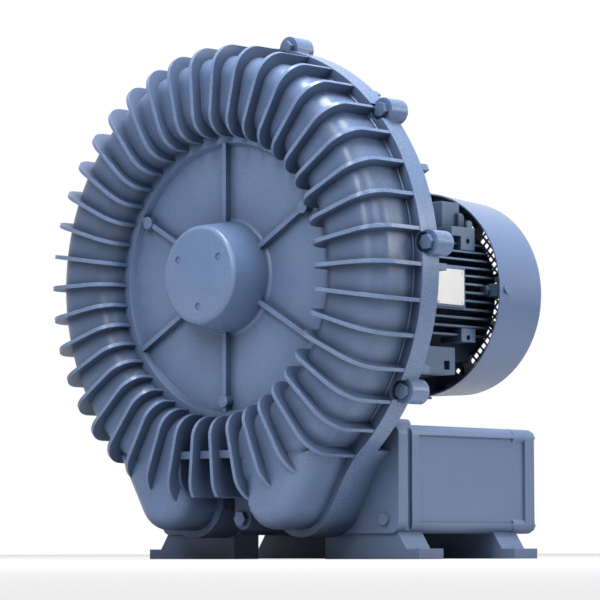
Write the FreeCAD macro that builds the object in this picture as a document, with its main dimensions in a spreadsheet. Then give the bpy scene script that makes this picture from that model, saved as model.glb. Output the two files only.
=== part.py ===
import FreeCAD, Part
import Sketcher
import os

# A side-channel blower: a finned impeller casing in front, a squirrel-cage motor behind it,
# and two silencer boxes underneath that carry the machine and end in its two ports.
# The model is drawn about the shaft: Y runs along the shaft from the finned cover to the fan
# cowl, and y = 0 is the front of the lip round the cover's disc. Every sub-part is then set
# down so that the feet stand on z = 0 with their bolt pattern about the origin.
doc = FreeCAD.newDocument("SideChannelBlower")
sheet = doc.addObject("Spreadsheet::Sheet", "Sizes")
rows = []


def size(alias, value):
    """One driving dimension, in millimetres or degrees, or a count."""
    rows.append(alias)
    cell = "B%d" % len(rows)
    sheet.set("A%d" % len(rows), alias)
    sheet.set(cell, str(value))
    sheet.setAlias(cell, alias)


# Where the machine stands
size("AxisHeight", 335)
size("FeetCentre", 204)

# Finned cover: depths are measured from the lip plane, reaches stand in front of it
size("CapReach", 45)
size("CapRadius", 59)
size("CapBaseRadius", 66.5)
size("CapFootRound", 5)
size("CapRound", 6)
size("DimpleRadius", 4.5)
size("DimpleDepth", 1.2)
size("DimpleCircle", 38)
size("DiscDepth", 8.3)
size("DiscRadius", 157)
size("LipRadius", 161)
size("RibWidth", 6)
size("RibReach", 1)
size("RibCount", 6)
size("PadRadius", 7.5)
size("PadCircle", 148)
size("PadReach", 3)
size("TorusInner", 174)
size("TorusOuter", 264)
size("TorusReach", 26)
size("TorusInnerRound", 29)
size("TorusOuterRound", 26)
size("FinInner", 167)
size("FinOuter", 277)
size("FinReach", 40)
size("FinInnerRound", 26)
size("FinOuterRound", 34)
size("FinThickness", 4.6)
size("FinCount", 42)
size("FlangeDepth", 37.5)
size("FlangeRadius", 278)
size("PartingDepth", 52)
size("GapHalf", 48)
size("GapBack", 10)
size("GapEdge", -262)
size("TieHeight", 9)
size("TieLevel", -212)
size("TieReach", 27)
size("CastWall", 7)

# Casing bolts and their lugs
size("LugCircle", 280)
size("LugRadius", 14.5)
size("LugCount", 8)
size("LugPhase", 221.25)
size("LugPitch", 36)
size("LugSeat", 46.7)
size("LugBack", 80)
size("LugTaper", 5)
size("LugTaperAngle", 40)
size("LugWeb", 22)
size("LugSpread", 8)
size("SpotRadius", 12.5)
size("KeelBoltX", -6)
size("KeelBoltZ", -287)
size("KeelLugRadius", 13)
size("BoltRadius", 5)
size("BoltClearance", 0.3)
size("BoltHeadRadius", 9.2)
size("BoltHead", 6.4)
size("BoltTip", 75)

# Legs, through which the side channel turns down into the silencers
size("LegX", 88.5)
size("LegZ", -260)
size("LegRadius", 40.5)
size("LegFlareRadius", 124)
size("LegFlareAngle", 49)
size("LegLean", 30)
size("LegSide", 50)
size("BulgeSide", 88)
size("LegTop", -192)
size("BulgeReach", 26)
size("LegHollowFront", 10)
size("LegHollowTop", -206)
size("LegRound", 24)
size("LegRim", 9)
size("LegBack", 90)
size("LegBackWall", 8)
size("DoorX", 94)
size("DoorZ", -248)
size("DoorRadius", 26)

# Side channel and impeller chamber
size("ChannelCircle", 217)
size("ChannelRadius", 34)
size("ChannelAxis", 15)
size("RunFace", 16.5)
size("RunClearance", 0.5)
size("ChamberRadius", 256)
size("StripperArc", 328)

# Impeller
size("RimClearance", 1)
size("ImpellerBack", 56)
size("ImpellerSkirt", 4)
size("WebFront", 30)
size("WebBack", 40)
size("HubFront", 20)
size("HubRadius", 40)
size("VaneCount", 48)
size("VaneThickness", 3.2)

# Rear housing
size("PlateRadius", 266)
size("PlateBack", 68)
size("RingOuter", 150)
size("RingInner", 112)
size("BossRadius", 60)
size("BossBack", 88.5)
size("BackRibReach", 272)
size("BackRibWidth", 8)
size("BackRibBack", 87)
size("BackRibCount", 14)
size("HousingFlangeBack", 66.5)
size("ChamberBack", 57)
size("RimBack", 77.5)
size("RimInner", 242)

# Shaft journals, front to back
size("ShaftFront", -36)
size("NoseRadius", 12.5)
size("NoseEnd", -21.5)
size("ThreadRadius", 15)
size("ImpellerSeatRadius", 17.5)
size("SealRadius", 19)
size("DriveSeatRadius", 20)
size("DriveSeatFront", 92)
size("DriveSeatBack", 110)
size("ShoulderRadius", 24)
size("CoreSeatRadius", 26)
size("RearSeatFront", 378)
size("RearSeatBack", 395)
size("RearSeatRadius", 17.5)
size("FanSeatRadius", 15)
size("ShaftBack", 444)
size("KeyWidth", 10)
size("KeyFront", 21)
size("KeyBack", 52)
size("KeyBottom", 12.5)
size("KeyTop", 20.5)

# Bearings, seal, nut
size("NoseBearingOuter", 26)
size("NoseBearingWidth", 15)
size("DriveBearingOuter", 40)
size("RearBearingOuter", 36)
size("SmallFit", 0.05)
size("RingThickness", 5)
size("ShieldGap", 0.3)
size("CapBoreDepth", 38)
size("ReliefRadius", 28)
size("SealOuter", 28)
size("SealWidth", 10)
size("SealFront", 78.5)
size("ShaftPass", 21)
size("SealGap", 0.05)
size("NutRadius", 22.5)
size("NutWidth", 7)
size("NutWasher", 1.25)
size("NutSlot", 3)

# Motor frame
size("NeckRadius", 98)
size("FrameFront", 118)
size("FrameBack", 378)
size("FrameBore", 80)
size("FrameRadius", 88)
size("FrameFinRadius", 108)
size("FrameFinPitch", 10.4)
size("FrameFinThickness", 2.6)
size("SideFins", 12)
size("TopFins", 13)
size("FrameFinFront", 142)
size("MotorSpigot", 6)
size("MotorFlangeRadius", 148)
size("MotorFlangeFront", 90)
size("MotorFlangeThickness", 12)
size("BearingLip", 3)
size("RegisterDepth", 6)
size("RegisterFit", 0.2)
size("MotorHubRadius", 50)
size("MotorBoltCircle", 131)
size("MotorBoltCount", 6)
size("MotorBoltTip", 73)
size("EarBoltRadius", 4)
size("EarHeadRadius", 7.5)
size("EarHead", 5.5)
size("EarBoltTip", 399)
size("EarFront", 366)
size("EarTop", 113)
size("EarFrontBack", 132)
size("EarTipFront", 106)
size("EarCircle", 103)
size("EarHalf", 8)
size("EarReach", 125.5)
size("LowPadX", 72)
size("LowPadZ", 90)
size("LowPadFront", 256)
size("LowPadBack", 325)
size("HighPadX", 62)
size("HighPadZ", 94)
size("HighPadFront", 314)
size("HighPadBack", 347)
size("MountHalf", 13)
size("MountTall", 17)
size("BracketRoot", 55)
size("BracketFace", 97)
size("BracketLow", 49)
size("BracketHigh", 66)
size("BracketFront", 324)
size("BracketBack", 351)
size("BracketHole", 60.5)
size("BracketHoleRadius", 3.5)
size("LedgeHeight", 11.5)
size("LedgeReach", 18)
size("PocketFront", 304)
size("PocketSize", 11)
size("PocketBottom", 101)
size("PocketDepth", 8)

# Terminal box, on top of the frame
size("BoxHalf", 60)
size("BoxFront", 142)
size("BoxBack", 246)
size("BoxTop", 177)
size("BoxSeat", 109)
size("BoxCorner", 14)
size("BoxWall", 6)
size("LidThickness", 8)
size("EntryRadius", 11)
size("EntryLevel", 141)
size("GlandCollar", 15)
size("GlandReach", 18)
size("GlandBore", 6.5)
size("PostInset", 13)
size("PostRadius", 6)
size("BoardHalf", 32)
size("BoardWide", 22)
size("BoardThickness", 8)
size("StudPitch", 20)
size("StudRadius", 2.5)

# Stator, rotor
size("CoreFront", 175)
size("CoreBack", 325)
size("StatorBore", 52)
size("AirGap", 0.5)
size("WindingInner", 56)
size("WindingOuter", 74)
size("WindingReach", 24)
size("EndRingInner", 30)
size("EndRingOuter", 48)
size("EndRingReach", 10)

# Rear end shield, fan and cowl
size("ShieldBack", 402)
size("ShieldFlange", 12)
size("ShieldHub", 46)
size("ShieldWeb", 10)
size("FanFront", 410)
size("FanBack", 438)
size("FanRadius", 105)
size("FanHub", 22)
size("FanBlades", 8)
size("FanPlate", 4)
size("FanTipBack", 428)
size("ClipThickness", 1.5)
size("CowlFront", 360.5)
size("CowlBack", 457)
size("CowlFrontRadius", 130)
size("CowlBackRadius", 125)
size("CowlRound", 12)
size("CowlWall", 2)
size("CowlScrewDepth", 373)
size("GrilleRings", 6)
size("GrillePitch", 16)
size("GrilleOuter", 111)
size("GrilleBar", 3)
size("GrilleHoles", 32)
size("ScrewRadius", 2.5)
size("ScrewLength", 14)
size("ScrewHeadRadius", 5)
size("ScrewHead", 2.5)

# Nameplate
size("PlateFront", 263)
size("PlateLength", 52)
size("PlateHeight", 44)
size("PlateSeat", 108.2)
size("PlateBorder", 3)
size("PadRoot", 70)
size("PlateThickness", 0.8)
size("RivetRadius", 1.6)

# Silencer boxes
size("SilencerInner", 55)
size("SilencerOuter", 195)
size("SilencerTop", -178)
size("SilencerBottom", -305)
size("SilencerBack", 343)
size("SilencerCorner", 12)
size("SilencerWall", 6)
size("SilencerFront", 90)
size("GrooveFront", 106)
size("GrooveBack", 114)
size("GrooveDepth", 4)
size("PanelFront", 127)
size("PanelBack", 325)
size("PanelInset", 12)
size("PanelDepth", 3)
size("CrownBack", 128)
size("CrownRise", 7)
size("CrownInset", 14)
size("CornerPost", 10)
size("EndPlate", 8)
size("StubFlangeRadius", 40)
size("StubFlange", 6)
size("PostLength", 40)
size("EndBoltTip", 318)
size("LinerWall", 15)
size("LinerFront", 112)
size("LinerBack", 300)
size("StubX", 125)
size("StubZ", -261)
size("StubRadius", 29.8)
size("StubBore", 25)
size("StubBack", 376)
size("FootInner", 75)
size("FootOuter", 222)
size("FootLength", 43)
size("FootThickness", 12)
size("FrontFoot", 94.5)
size("RearFoot", 270.5)
size("FootHoleX", 207)
size("FootHoleRadius", 6.5)
size("PlugX", 173)
size("PlugZ", -289)
size("PlugRadius", 7)
size("PlugReach", 4)
size("SilencerBoltIn", 70)
size("SilencerBoltOut", 140)
size("SilencerBoltZ", -203)
size("SilencerBoltTip", 80)
doc.recompute()


def num(expression):
    """The value of an expression over the driving dimensions."""
    return float(sheet.evalExpression(expression))


def bind(item, prop, expression):
    item.setExpression(prop, expression)


def new_body(name):
    return doc.addObject("PartDesign::Body", name)


def own(body, role):
    """One of the body's own origin planes or axes."""
    return [part for part in body.Origin.OriginFeatures if part.Role == role][0]


def new_sketch(body, role, name, level="0", turn="0"):
    """A sketch on an origin plane, moved along the plane's normal and turned about it."""
    sketch = body.newObject("Sketcher::SketchObject", name)
    sketch.AttachmentSupport = [(own(body, role), "")]
    sketch.MapMode = "FlatFace"
    bind(sketch, "AttachmentOffset.Base.z", level)
    bind(sketch, "AttachmentOffset.Rotation.Angle", turn)
    return sketch


def hold(sketch, index, end, across, up):
    """Ties one point of a sketch to its distances from the sketch's origin."""
    for kind, axis, expression in (("DistanceX", -2, across), ("DistanceY", -1, up)):
        value = num(expression)
        if expression == "0":
            sketch.addConstraint(Sketcher.Constraint("PointOnObject", index, end, axis))
            continue
        place = sketch.addConstraint(Sketcher.Constraint(kind, -1, 1, index, end, value))
        bind(sketch, "Constraints[%d]" % place, expression)


def outline(sketch, corners):
    """A closed outline. A corner is (across, up), or (across, up, radius, side) where the edge
    that leaves it is an arc with its centre on the left (side 1) or on the right (side -1)."""
    points = [FreeCAD.Vector(num(c[0]), num(c[1]), 0) for c in corners]
    ends = []
    for index, corner in enumerate(corners):
        start, stop = points[index], points[(index + 1) % len(points)]
        if len(corner) == 2:
            ends.append((sketch.addGeometry(Part.LineSegment(start, stop)), 1, 2))
            continue
        radius, side = num(corner[2]), corner[3]
        chord = stop - start
        rise = max(radius ** 2 - chord.Length ** 2 / 4, 0) ** 0.5
        normal = FreeCAD.Vector(-chord.y, chord.x, 0).normalize()
        centre = (start + stop) * 0.5 + normal * (rise * side)
        first, last = (start, stop) if side > 0 else (stop, start)
        angles = [FreeCAD.Vector(1, 0, 0).getAngle(p - centre) for p in (first, last)]
        angles = [a if (p - centre).y >= 0 else -a for a, p in zip(angles, (first, last))]
        circle = Part.Circle(centre, FreeCAD.Vector(0, 0, 1), radius)
        arc = sketch.addGeometry(Part.ArcOfCircle(circle, angles[0], angles[1]))
        ends.append((arc, 1, 2) if side > 0 else (arc, 2, 1))
    for index in range(len(ends)):
        arriving, leaving = ends[index - 1], ends[index]
        sketch.addConstraint(Sketcher.Constraint("Coincident", arriving[0], arriving[2],
                                                 leaving[0], leaving[1]))
    for index, corner in enumerate(corners):
        hold(sketch, ends[index][0], ends[index][1], corner[0], corner[1])
        if len(corner) == 4:
            place = sketch.addConstraint(
                Sketcher.Constraint("Radius", ends[index][0], num(corner[2])))
            bind(sketch, "Constraints[%d]" % place, corner[2])


def circle(sketch, across, up, radius):
    """A circle tied to its centre and radius."""
    centre = FreeCAD.Vector(num(across), num(up), 0)
    shape = Part.Circle(centre, FreeCAD.Vector(0, 0, 1), num(radius))
    index = sketch.addGeometry(shape)
    hold(sketch, index, 3, across, up)
    place = sketch.addConstraint(Sketcher.Constraint("Radius", index, num(radius)))
    bind(sketch, "Constraints[%d]" % place, radius)


def box_corners(left, right, bottom, top):
    return [(left, bottom), (right, bottom), (right, top), (left, top)]


def rounded_corners(left, right, bottom, top, radius):
    """A rectangle with four equal round corners, counterclockwise."""
    inset = "(%s) + " + radius
    outset = "(%s) - " + radius
    return [(inset % left, bottom), (outset % right, bottom, radius, 1),
            (right, inset % bottom), (right, outset % top, radius, 1),
            (outset % right, top), (inset % left, top, radius, 1),
            (left, outset % top), (left, inset % bottom, radius, 1)]


def feature(body, kind, name, sketch, length=None):
    """A sketch-based feature of the body."""
    item = body.newObject("PartDesign::" + kind, name)
    item.Profile = sketch
    item.Refine = False
    if length is None:
        item.ReferenceAxis = (sketch, ["V_Axis"])
        item.Angle = 360
    else:
        bind(item, "Length", length)
    sketch.Visibility = False
    body.Tip = item
    return item


def spin(body, kind, name, corners):
    """A profile of radius across and shaft depth up, turned about the shaft."""
    sketch = new_sketch(body, "XY_Plane", name + "Profile")
    outline(sketch, corners)
    return feature(body, kind, name, sketch)


def slab(body, name, corners, front, back, turn="0"):
    """An outline seen from the front, filled from one shaft depth to another."""
    sketch = new_sketch(body, "XZ_Plane", name + "Outline", "-(%s)" % back, turn)
    outline(sketch, corners)
    return feature(body, "Pad", name, sketch, "(%s) - (%s)" % (back, front))


def disc(body, name, across, up, radius, front, back, turn="0"):
    """A round boss along the shaft, from one depth to another."""
    sketch = new_sketch(body, "XZ_Plane", name + "Circle", "-(%s)" % back, turn)
    circle(sketch, across, up, radius)
    return feature(body, "Pad", name, sketch, "(%s) - (%s)" % (back, front))


def recess(body, name, corners, front, back, turn="0"):
    """An outline seen from the front, cut away from one shaft depth to another."""
    sketch = new_sketch(body, "XZ_Plane", name + "Outline", "-(%s)" % front, turn)
    outline(sketch, corners)
    return feature(body, "Pocket", name, sketch, "(%s) - (%s)" % (back, front))


def drill(body, name, across, up, radius, front, back, turn="0"):
    """A round hole along the shaft, from one depth to another."""
    sketch = new_sketch(body, "XZ_Plane", name + "Circle", "-(%s)" % front, turn)
    circle(sketch, across, up, radius)
    return feature(body, "Pocket", name, sketch, "(%s) - (%s)" % (back, front))


def around(body, name, items, count, pitch=None):
    """The same features, repeated evenly round the shaft, or clockwise at a pitch."""
    pattern = body.newObject("PartDesign::PolarPattern", name)
    pattern.Originals = items
    pattern.Axis = (own(body, "Y_Axis"), [""])
    pattern.Angle = 360
    if pitch is not None:
        bind(pattern, "Angle", "%s * (%s - 1)" % (pitch, count))
    bind(pattern, "Occurrences", count)
    pattern.Refine = False
    body.Tip = pattern
    return pattern


def combine(kind, name, items, tool=None):
    """A boolean of whole bodies."""
    result = doc.addObject("Part::" + kind, name)
    if tool is None:
        result.Shapes = items
    else:
        result.Base = items
        result.Tool = tool
    result.Refine = False
    return result


def mirrored(name, source):
    """The same piece on the other side of the shaft."""
    twin = doc.addObject("Part::Mirroring", name)
    twin.Source = source
    twin.Normal = FreeCAD.Vector(1, 0, 0)
    return twin


kept = []


def keep(item, label):
    """Names a finished sub-part and sets it down on its feet."""
    item.Label = label
    bind(item, "Placement.Base.y", "-Sizes.FeetCentre")
    bind(item, "Placement.Base.z", "Sizes.AxisHeight")
    kept.append(item)
    return item


def right_side(corners, side):
    """Mirrors an outline that is written for the right leg when side is -1."""
    if side > 0:
        return corners
    flipped = []
    count = len(corners)
    for index in range(count):
        point = corners[count - 1 - index]
        edge = corners[(count - 2 - index) % count]
        flipped.append(("-(%s)" % point[0], point[1]) + tuple(edge[2:]))
    return flipped


def leg_outline(radius, side_length, flare):
    """A leg seen from the front: upright inside, a round foot and a side that leans out."""
    toe_x = "Sizes.LegX + (%s) * cos(Sizes.LegLean)" % radius
    toe_z = "Sizes.LegZ - (%s) * sin(Sizes.LegLean)" % radius
    hip_x = "%s + %s * sin(Sizes.LegLean)" % (toe_x, side_length)
    hip_z = "%s + %s * cos(Sizes.LegLean)" % (toe_z, side_length)
    corners = [("Sizes.LegX - (%s)" % radius, "Sizes.LegZ", radius, 1), (toe_x, toe_z)]
    if flare:
        corners.append((hip_x, hip_z, "Sizes.LegFlareRadius", -1))
        corners.append(("Sizes.FlangeRadius * cos(Sizes.LegFlareAngle)",
                        "-Sizes.FlangeRadius * sin(Sizes.LegFlareAngle)"))
    else:
        corners.append((hip_x, hip_z))
    corners.append(("Sizes.LegX", "Sizes.LegTop"))
    corners.append(("Sizes.LegX - (%s)" % radius, "Sizes.LegTop"))
    return corners


def leg_bulge(side):
    """The swollen front of one leg, domed all round its front edge."""
    body = new_body("LegBulge")
    corners = right_side(leg_outline("Sizes.LegRadius", "Sizes.BulgeSide", False), side)
    pad = slab(body, "Bulge", corners, "-Sizes.BulgeReach", "Sizes.PartingDepth")
    doc.recompute()
    front = -num("Sizes.BulgeReach") + 0.01
    names = ["Edge%d" % (place + 1) for place, edge in enumerate(pad.Shape.Edges)
             if edge.BoundBox.YMax < front]
    dome = body.newObject("PartDesign::Fillet", "Dome")
    dome.Base = (pad, names)
    bind(dome, "Radius", "Sizes.LegRound")
    body.Tip = dome
    return body


def keel_lug(body, front, back):
    """The lug of the bolt that hangs below the flange between the legs."""
    left = "Sizes.KeelBoltX - Sizes.KeelLugRadius"
    right = "Sizes.KeelBoltX + Sizes.KeelLugRadius"
    top = "Sizes.GapEdge + Sizes.CastWall"
    half = "Sizes.KeelLugRadius"
    bottom = "Sizes.KeelBoltZ - Sizes.KeelLugRadius"
    corners = [(left, top), (left, "Sizes.KeelBoltZ", half, 1), ("Sizes.KeelBoltX", bottom, half, 1),
               (right, "Sizes.KeelBoltZ"), (right, top)]
    return slab(body, "KeelLug", corners, front, back)


def flange_trim(body, front, back):
    """Squares off the flange between the legs."""
    corners = box_corners("Sizes.LegRadius + Sizes.LegRim - Sizes.LegX",
                          "Sizes.LegX - Sizes.LegRadius - Sizes.LegRim",
                          "-Sizes.LugCircle - Sizes.LugRadius", "Sizes.GapEdge")
    return recess(body, "FlangeTrim", corners, front, back)


def ring_lugs(body, front, back):
    """The round lugs of the casing bolts along the rim, each on a web that widens inwards."""
    lug = disc(body, "RimLug", "Sizes.LugCircle", "0", "Sizes.LugRadius", front, back,
               "Sizes.LugPhase")
    foot = "Sizes.LugCircle - Sizes.LugWeb"
    wide = "(Sizes.LugRadius + Sizes.LugSpread)"
    web = slab(body, "LugWeb", [(foot, "-" + wide), ("Sizes.LugCircle", "-Sizes.LugRadius"),
                                ("Sizes.LugCircle", "Sizes.LugRadius"), (foot, wide)],
               front, back, "Sizes.LugPhase")
    return [lug, web]


def repeat_lugs(body, items):
    """Repeats what belongs to one lug at every lug."""
    around(body, "RimLugs", items, "Sizes.LugCount", "Sizes.LugPitch")


def channel_tools():
    """The spaces inside the casing: side channel, impeller chamber and the ducts in the legs."""
    chamber = new_body("ChamberSpace")
    spin(chamber, "Revolution", "Chamber",
         [("0", "Sizes.RunFace"), ("Sizes.ChamberRadius", "Sizes.RunFace"),
          ("Sizes.ChamberRadius", "Sizes.ChamberBack"), ("0", "Sizes.ChamberBack")])
    channel = new_body("ChannelSpace")
    sketch = new_sketch(channel, "YZ_Plane", "ChannelProfile")
    near = "Sizes.ChannelCircle - Sizes.ChannelRadius"
    far = "Sizes.ChannelCircle + Sizes.ChannelRadius"
    outline(sketch, [("Sizes.RunFace + Sizes.RunClearance", near),
                     ("Sizes.RunFace + Sizes.RunClearance", far), ("Sizes.ChannelAxis", far,
                      "Sizes.ChannelRadius", 1),
                     ("Sizes.ChannelAxis - Sizes.ChannelRadius", "Sizes.ChannelCircle",
                      "Sizes.ChannelRadius", 1), ("Sizes.ChannelAxis", near)])
    sweep = feature(channel, "Revolution", "Channel", sketch)
    sweep.ReferenceAxis = (sketch, ["H_Axis"])
    sweep.Midplane = True
    bind(sweep, "Angle", "Sizes.StripperArc")
    return [chamber, channel]


def leg_duct(radius, top, front, back, side):
    """The hollow of one leg between two depths."""
    body = new_body("LegDuct")
    corners = leg_outline(radius, "Sizes.LegSide", False)
    corners[-2] = ("Sizes.LegX", top)
    corners[-1] = (corners[-1][0], top)
    slab(body, "Duct", right_side(corners, side), front, back)
    return body


def cover_fins():
    """The upright cooling fins: one outline, repeated round the shaft and cut off level between
    the legs."""
    body = new_body("FinBody")
    fin_sketch = new_sketch(body, "XY_Plane", "FinOutline", "-Sizes.FinThickness / 2")
    outline(fin_sketch, [
        ("Sizes.FinInner", "Sizes.RibReach"),
        ("Sizes.FinInner", "Sizes.FinInnerRound - Sizes.FinReach", "Sizes.FinInnerRound", 1),
        ("Sizes.FinInner + Sizes.FinInnerRound", "-Sizes.FinReach"),
        ("Sizes.FinOuter - Sizes.FinOuterRound", "-Sizes.FinReach", "Sizes.FinOuterRound", 1),
        ("Sizes.FinOuter", "Sizes.FinOuterRound - Sizes.FinReach"),
        ("Sizes.FinOuter", "Sizes.FlangeDepth + Sizes.RibReach"),
        ("Sizes.TorusOuter - Sizes.CastWall / 2", "Sizes.FlangeDepth + Sizes.RibReach"),
        ("Sizes.TorusInner + Sizes.RibReach", "Sizes.GapBack + Sizes.CastWall / 2")])
    fin = feature(body, "Pad", "Fin", fin_sketch, "Sizes.FinThickness")
    around(body, "Fins", [fin], "Sizes.FinCount")
    flange_trim(body, "-Sizes.FinReach - Sizes.CastWall", "Sizes.PartingDepth")
    return body


def front_cover():
    """The finned casting that closes the casing and carries the outboard bearing."""
    body = new_body("CoverBody")
    spin(body, "Revolution", "Shell", [
        ("0", "-Sizes.CapReach"),
        ("Sizes.CapRadius - Sizes.CapRound", "-Sizes.CapReach", "Sizes.CapRound", 1),
        ("Sizes.CapRadius", "Sizes.CapRound - Sizes.CapReach"),
        ("Sizes.CapBaseRadius", "Sizes.DiscDepth - Sizes.CapFootRound", "Sizes.CapFootRound", -1),
        ("Sizes.CapBaseRadius + Sizes.CapFootRound", "Sizes.DiscDepth"),
        ("Sizes.DiscRadius", "Sizes.DiscDepth"),
        ("Sizes.LipRadius", "0"),
        ("Sizes.TorusInner", "0", "Sizes.TorusInnerRound", 1),
        ("Sizes.TorusInner + Sizes.TorusInnerRound", "-Sizes.TorusReach"),
        ("Sizes.TorusOuter - Sizes.TorusOuterRound", "-Sizes.TorusReach",
         "Sizes.TorusOuterRound", 1),
        ("Sizes.TorusOuter", "Sizes.TorusOuterRound - Sizes.TorusReach"),
        ("Sizes.TorusOuter", "Sizes.FlangeDepth"),
        ("Sizes.FlangeRadius", "Sizes.FlangeDepth"),
        ("Sizes.FlangeRadius", "Sizes.PartingDepth"),
        ("0", "Sizes.PartingDepth")])
    gap_top = "-sqrt(Sizes.TorusInner ^ 2 - Sizes.GapHalf ^ 2)"
    gap_bottom = "-Sizes.FinOuter"
    recess(body, "Gap", [("-Sizes.GapHalf", gap_bottom), ("Sizes.GapHalf", gap_bottom),
                         ("Sizes.GapHalf", gap_top, "Sizes.TorusInner", -1),
                         ("-Sizes.GapHalf", gap_top)],
           "-Sizes.TorusReach - Sizes.CastWall", "Sizes.GapBack")
    slab(body, "TieBar", box_corners("-Sizes.GapHalf - Sizes.CastWall",
                                     "Sizes.GapHalf + Sizes.CastWall",
                                     "Sizes.TieLevel - Sizes.TieHeight / 2",
                                     "Sizes.TieLevel + Sizes.TieHeight / 2"),
         "-Sizes.TieReach", "Sizes.RunFace")
    for side in (1, -1):
        rim = right_side(leg_outline("Sizes.LegRadius + Sizes.LegRim", "Sizes.LegSide", True), side)
        slab(body, "LegFlange", rim, "Sizes.FlangeDepth", "Sizes.PartingDepth")
    flange_trim(body, "-Sizes.FinReach - Sizes.CastWall", "Sizes.PartingDepth + Sizes.CastWall")
    keel_lug(body, "Sizes.FlangeDepth", "Sizes.PartingDepth")
    repeat_lugs(body, ring_lugs(body, "Sizes.LugSeat", "Sizes.PartingDepth"))
    rib = slab(body, "DiscRib", box_corners("Sizes.CapRadius - Sizes.CapRound", "Sizes.LipRadius",
                                            "-Sizes.RibWidth / 2", "Sizes.RibWidth / 2"),
               "-Sizes.RibReach", "Sizes.RunFace", "30")
    around(body, "DiscRibs", [rib], "Sizes.RibCount")
    pad = disc(body, "DiscPad", "Sizes.PadCircle", "0", "Sizes.PadRadius", "-Sizes.PadReach",
               "Sizes.RunFace", "30")
    around(body, "DiscPads", [pad], "3")
    dimple = drill(body, "Dimple", "Sizes.DimpleCircle", "0", "Sizes.DimpleRadius",
                   "-Sizes.CapReach", "Sizes.DimpleDepth - Sizes.CapReach", "30")
    around(body, "Dimples", [dimple], "3")
    spot = drill(body, "BoltSpot", "Sizes.LugCircle", "0", "Sizes.SpotRadius",
                 "Sizes.FlangeDepth", "Sizes.LugSeat", "Sizes.LugPhase")
    around(body, "BoltSpots", [spot], "Sizes.LugCount",
           "Sizes.LugPitch")
    hole = drill(body, "BoltHole", "Sizes.LugCircle", "0", "Sizes.BoltRadius + Sizes.BoltClearance",
                 "Sizes.FlangeDepth", "Sizes.PartingDepth", "Sizes.LugPhase")
    around(body, "BoltHoles", [hole], "Sizes.LugCount",
           "Sizes.LugPitch")
    drill(body, "KeelHole", "Sizes.KeelBoltX", "Sizes.KeelBoltZ",
          "Sizes.BoltRadius + Sizes.BoltClearance", "Sizes.FlangeDepth", "Sizes.PartingDepth")
    hub = new_body("CapSpace")
    spin(hub, "Revolution", "CapBore", [
        ("0", "-Sizes.CapBoreDepth"),
        ("Sizes.NoseBearingOuter + Sizes.SmallFit", "-Sizes.CapBoreDepth"),
        ("Sizes.NoseBearingOuter + Sizes.SmallFit", "Sizes.NoseEnd"),
        ("Sizes.ReliefRadius", "Sizes.NoseEnd"),
        ("Sizes.ReliefRadius", "Sizes.RunFace + Sizes.RunClearance"),
        ("0", "Sizes.RunFace + Sizes.RunClearance")])
    solid = combine("MultiFuse", "CoverSolid", [body, cover_fins(), leg_bulge(1), leg_bulge(-1)])
    ducts = [leg_duct("Sizes.LegRadius - Sizes.CastWall", "Sizes.LegHollowTop",
                      "-Sizes.LegHollowFront", "Sizes.PartingDepth + Sizes.CastWall", side)
             for side in (1, -1)]
    spaces = combine("MultiFuse", "CoverSpaces", channel_tools() + ducts + [hub])
    keep(combine("Cut", "Cover", solid, spaces), "front_cover")


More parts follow.
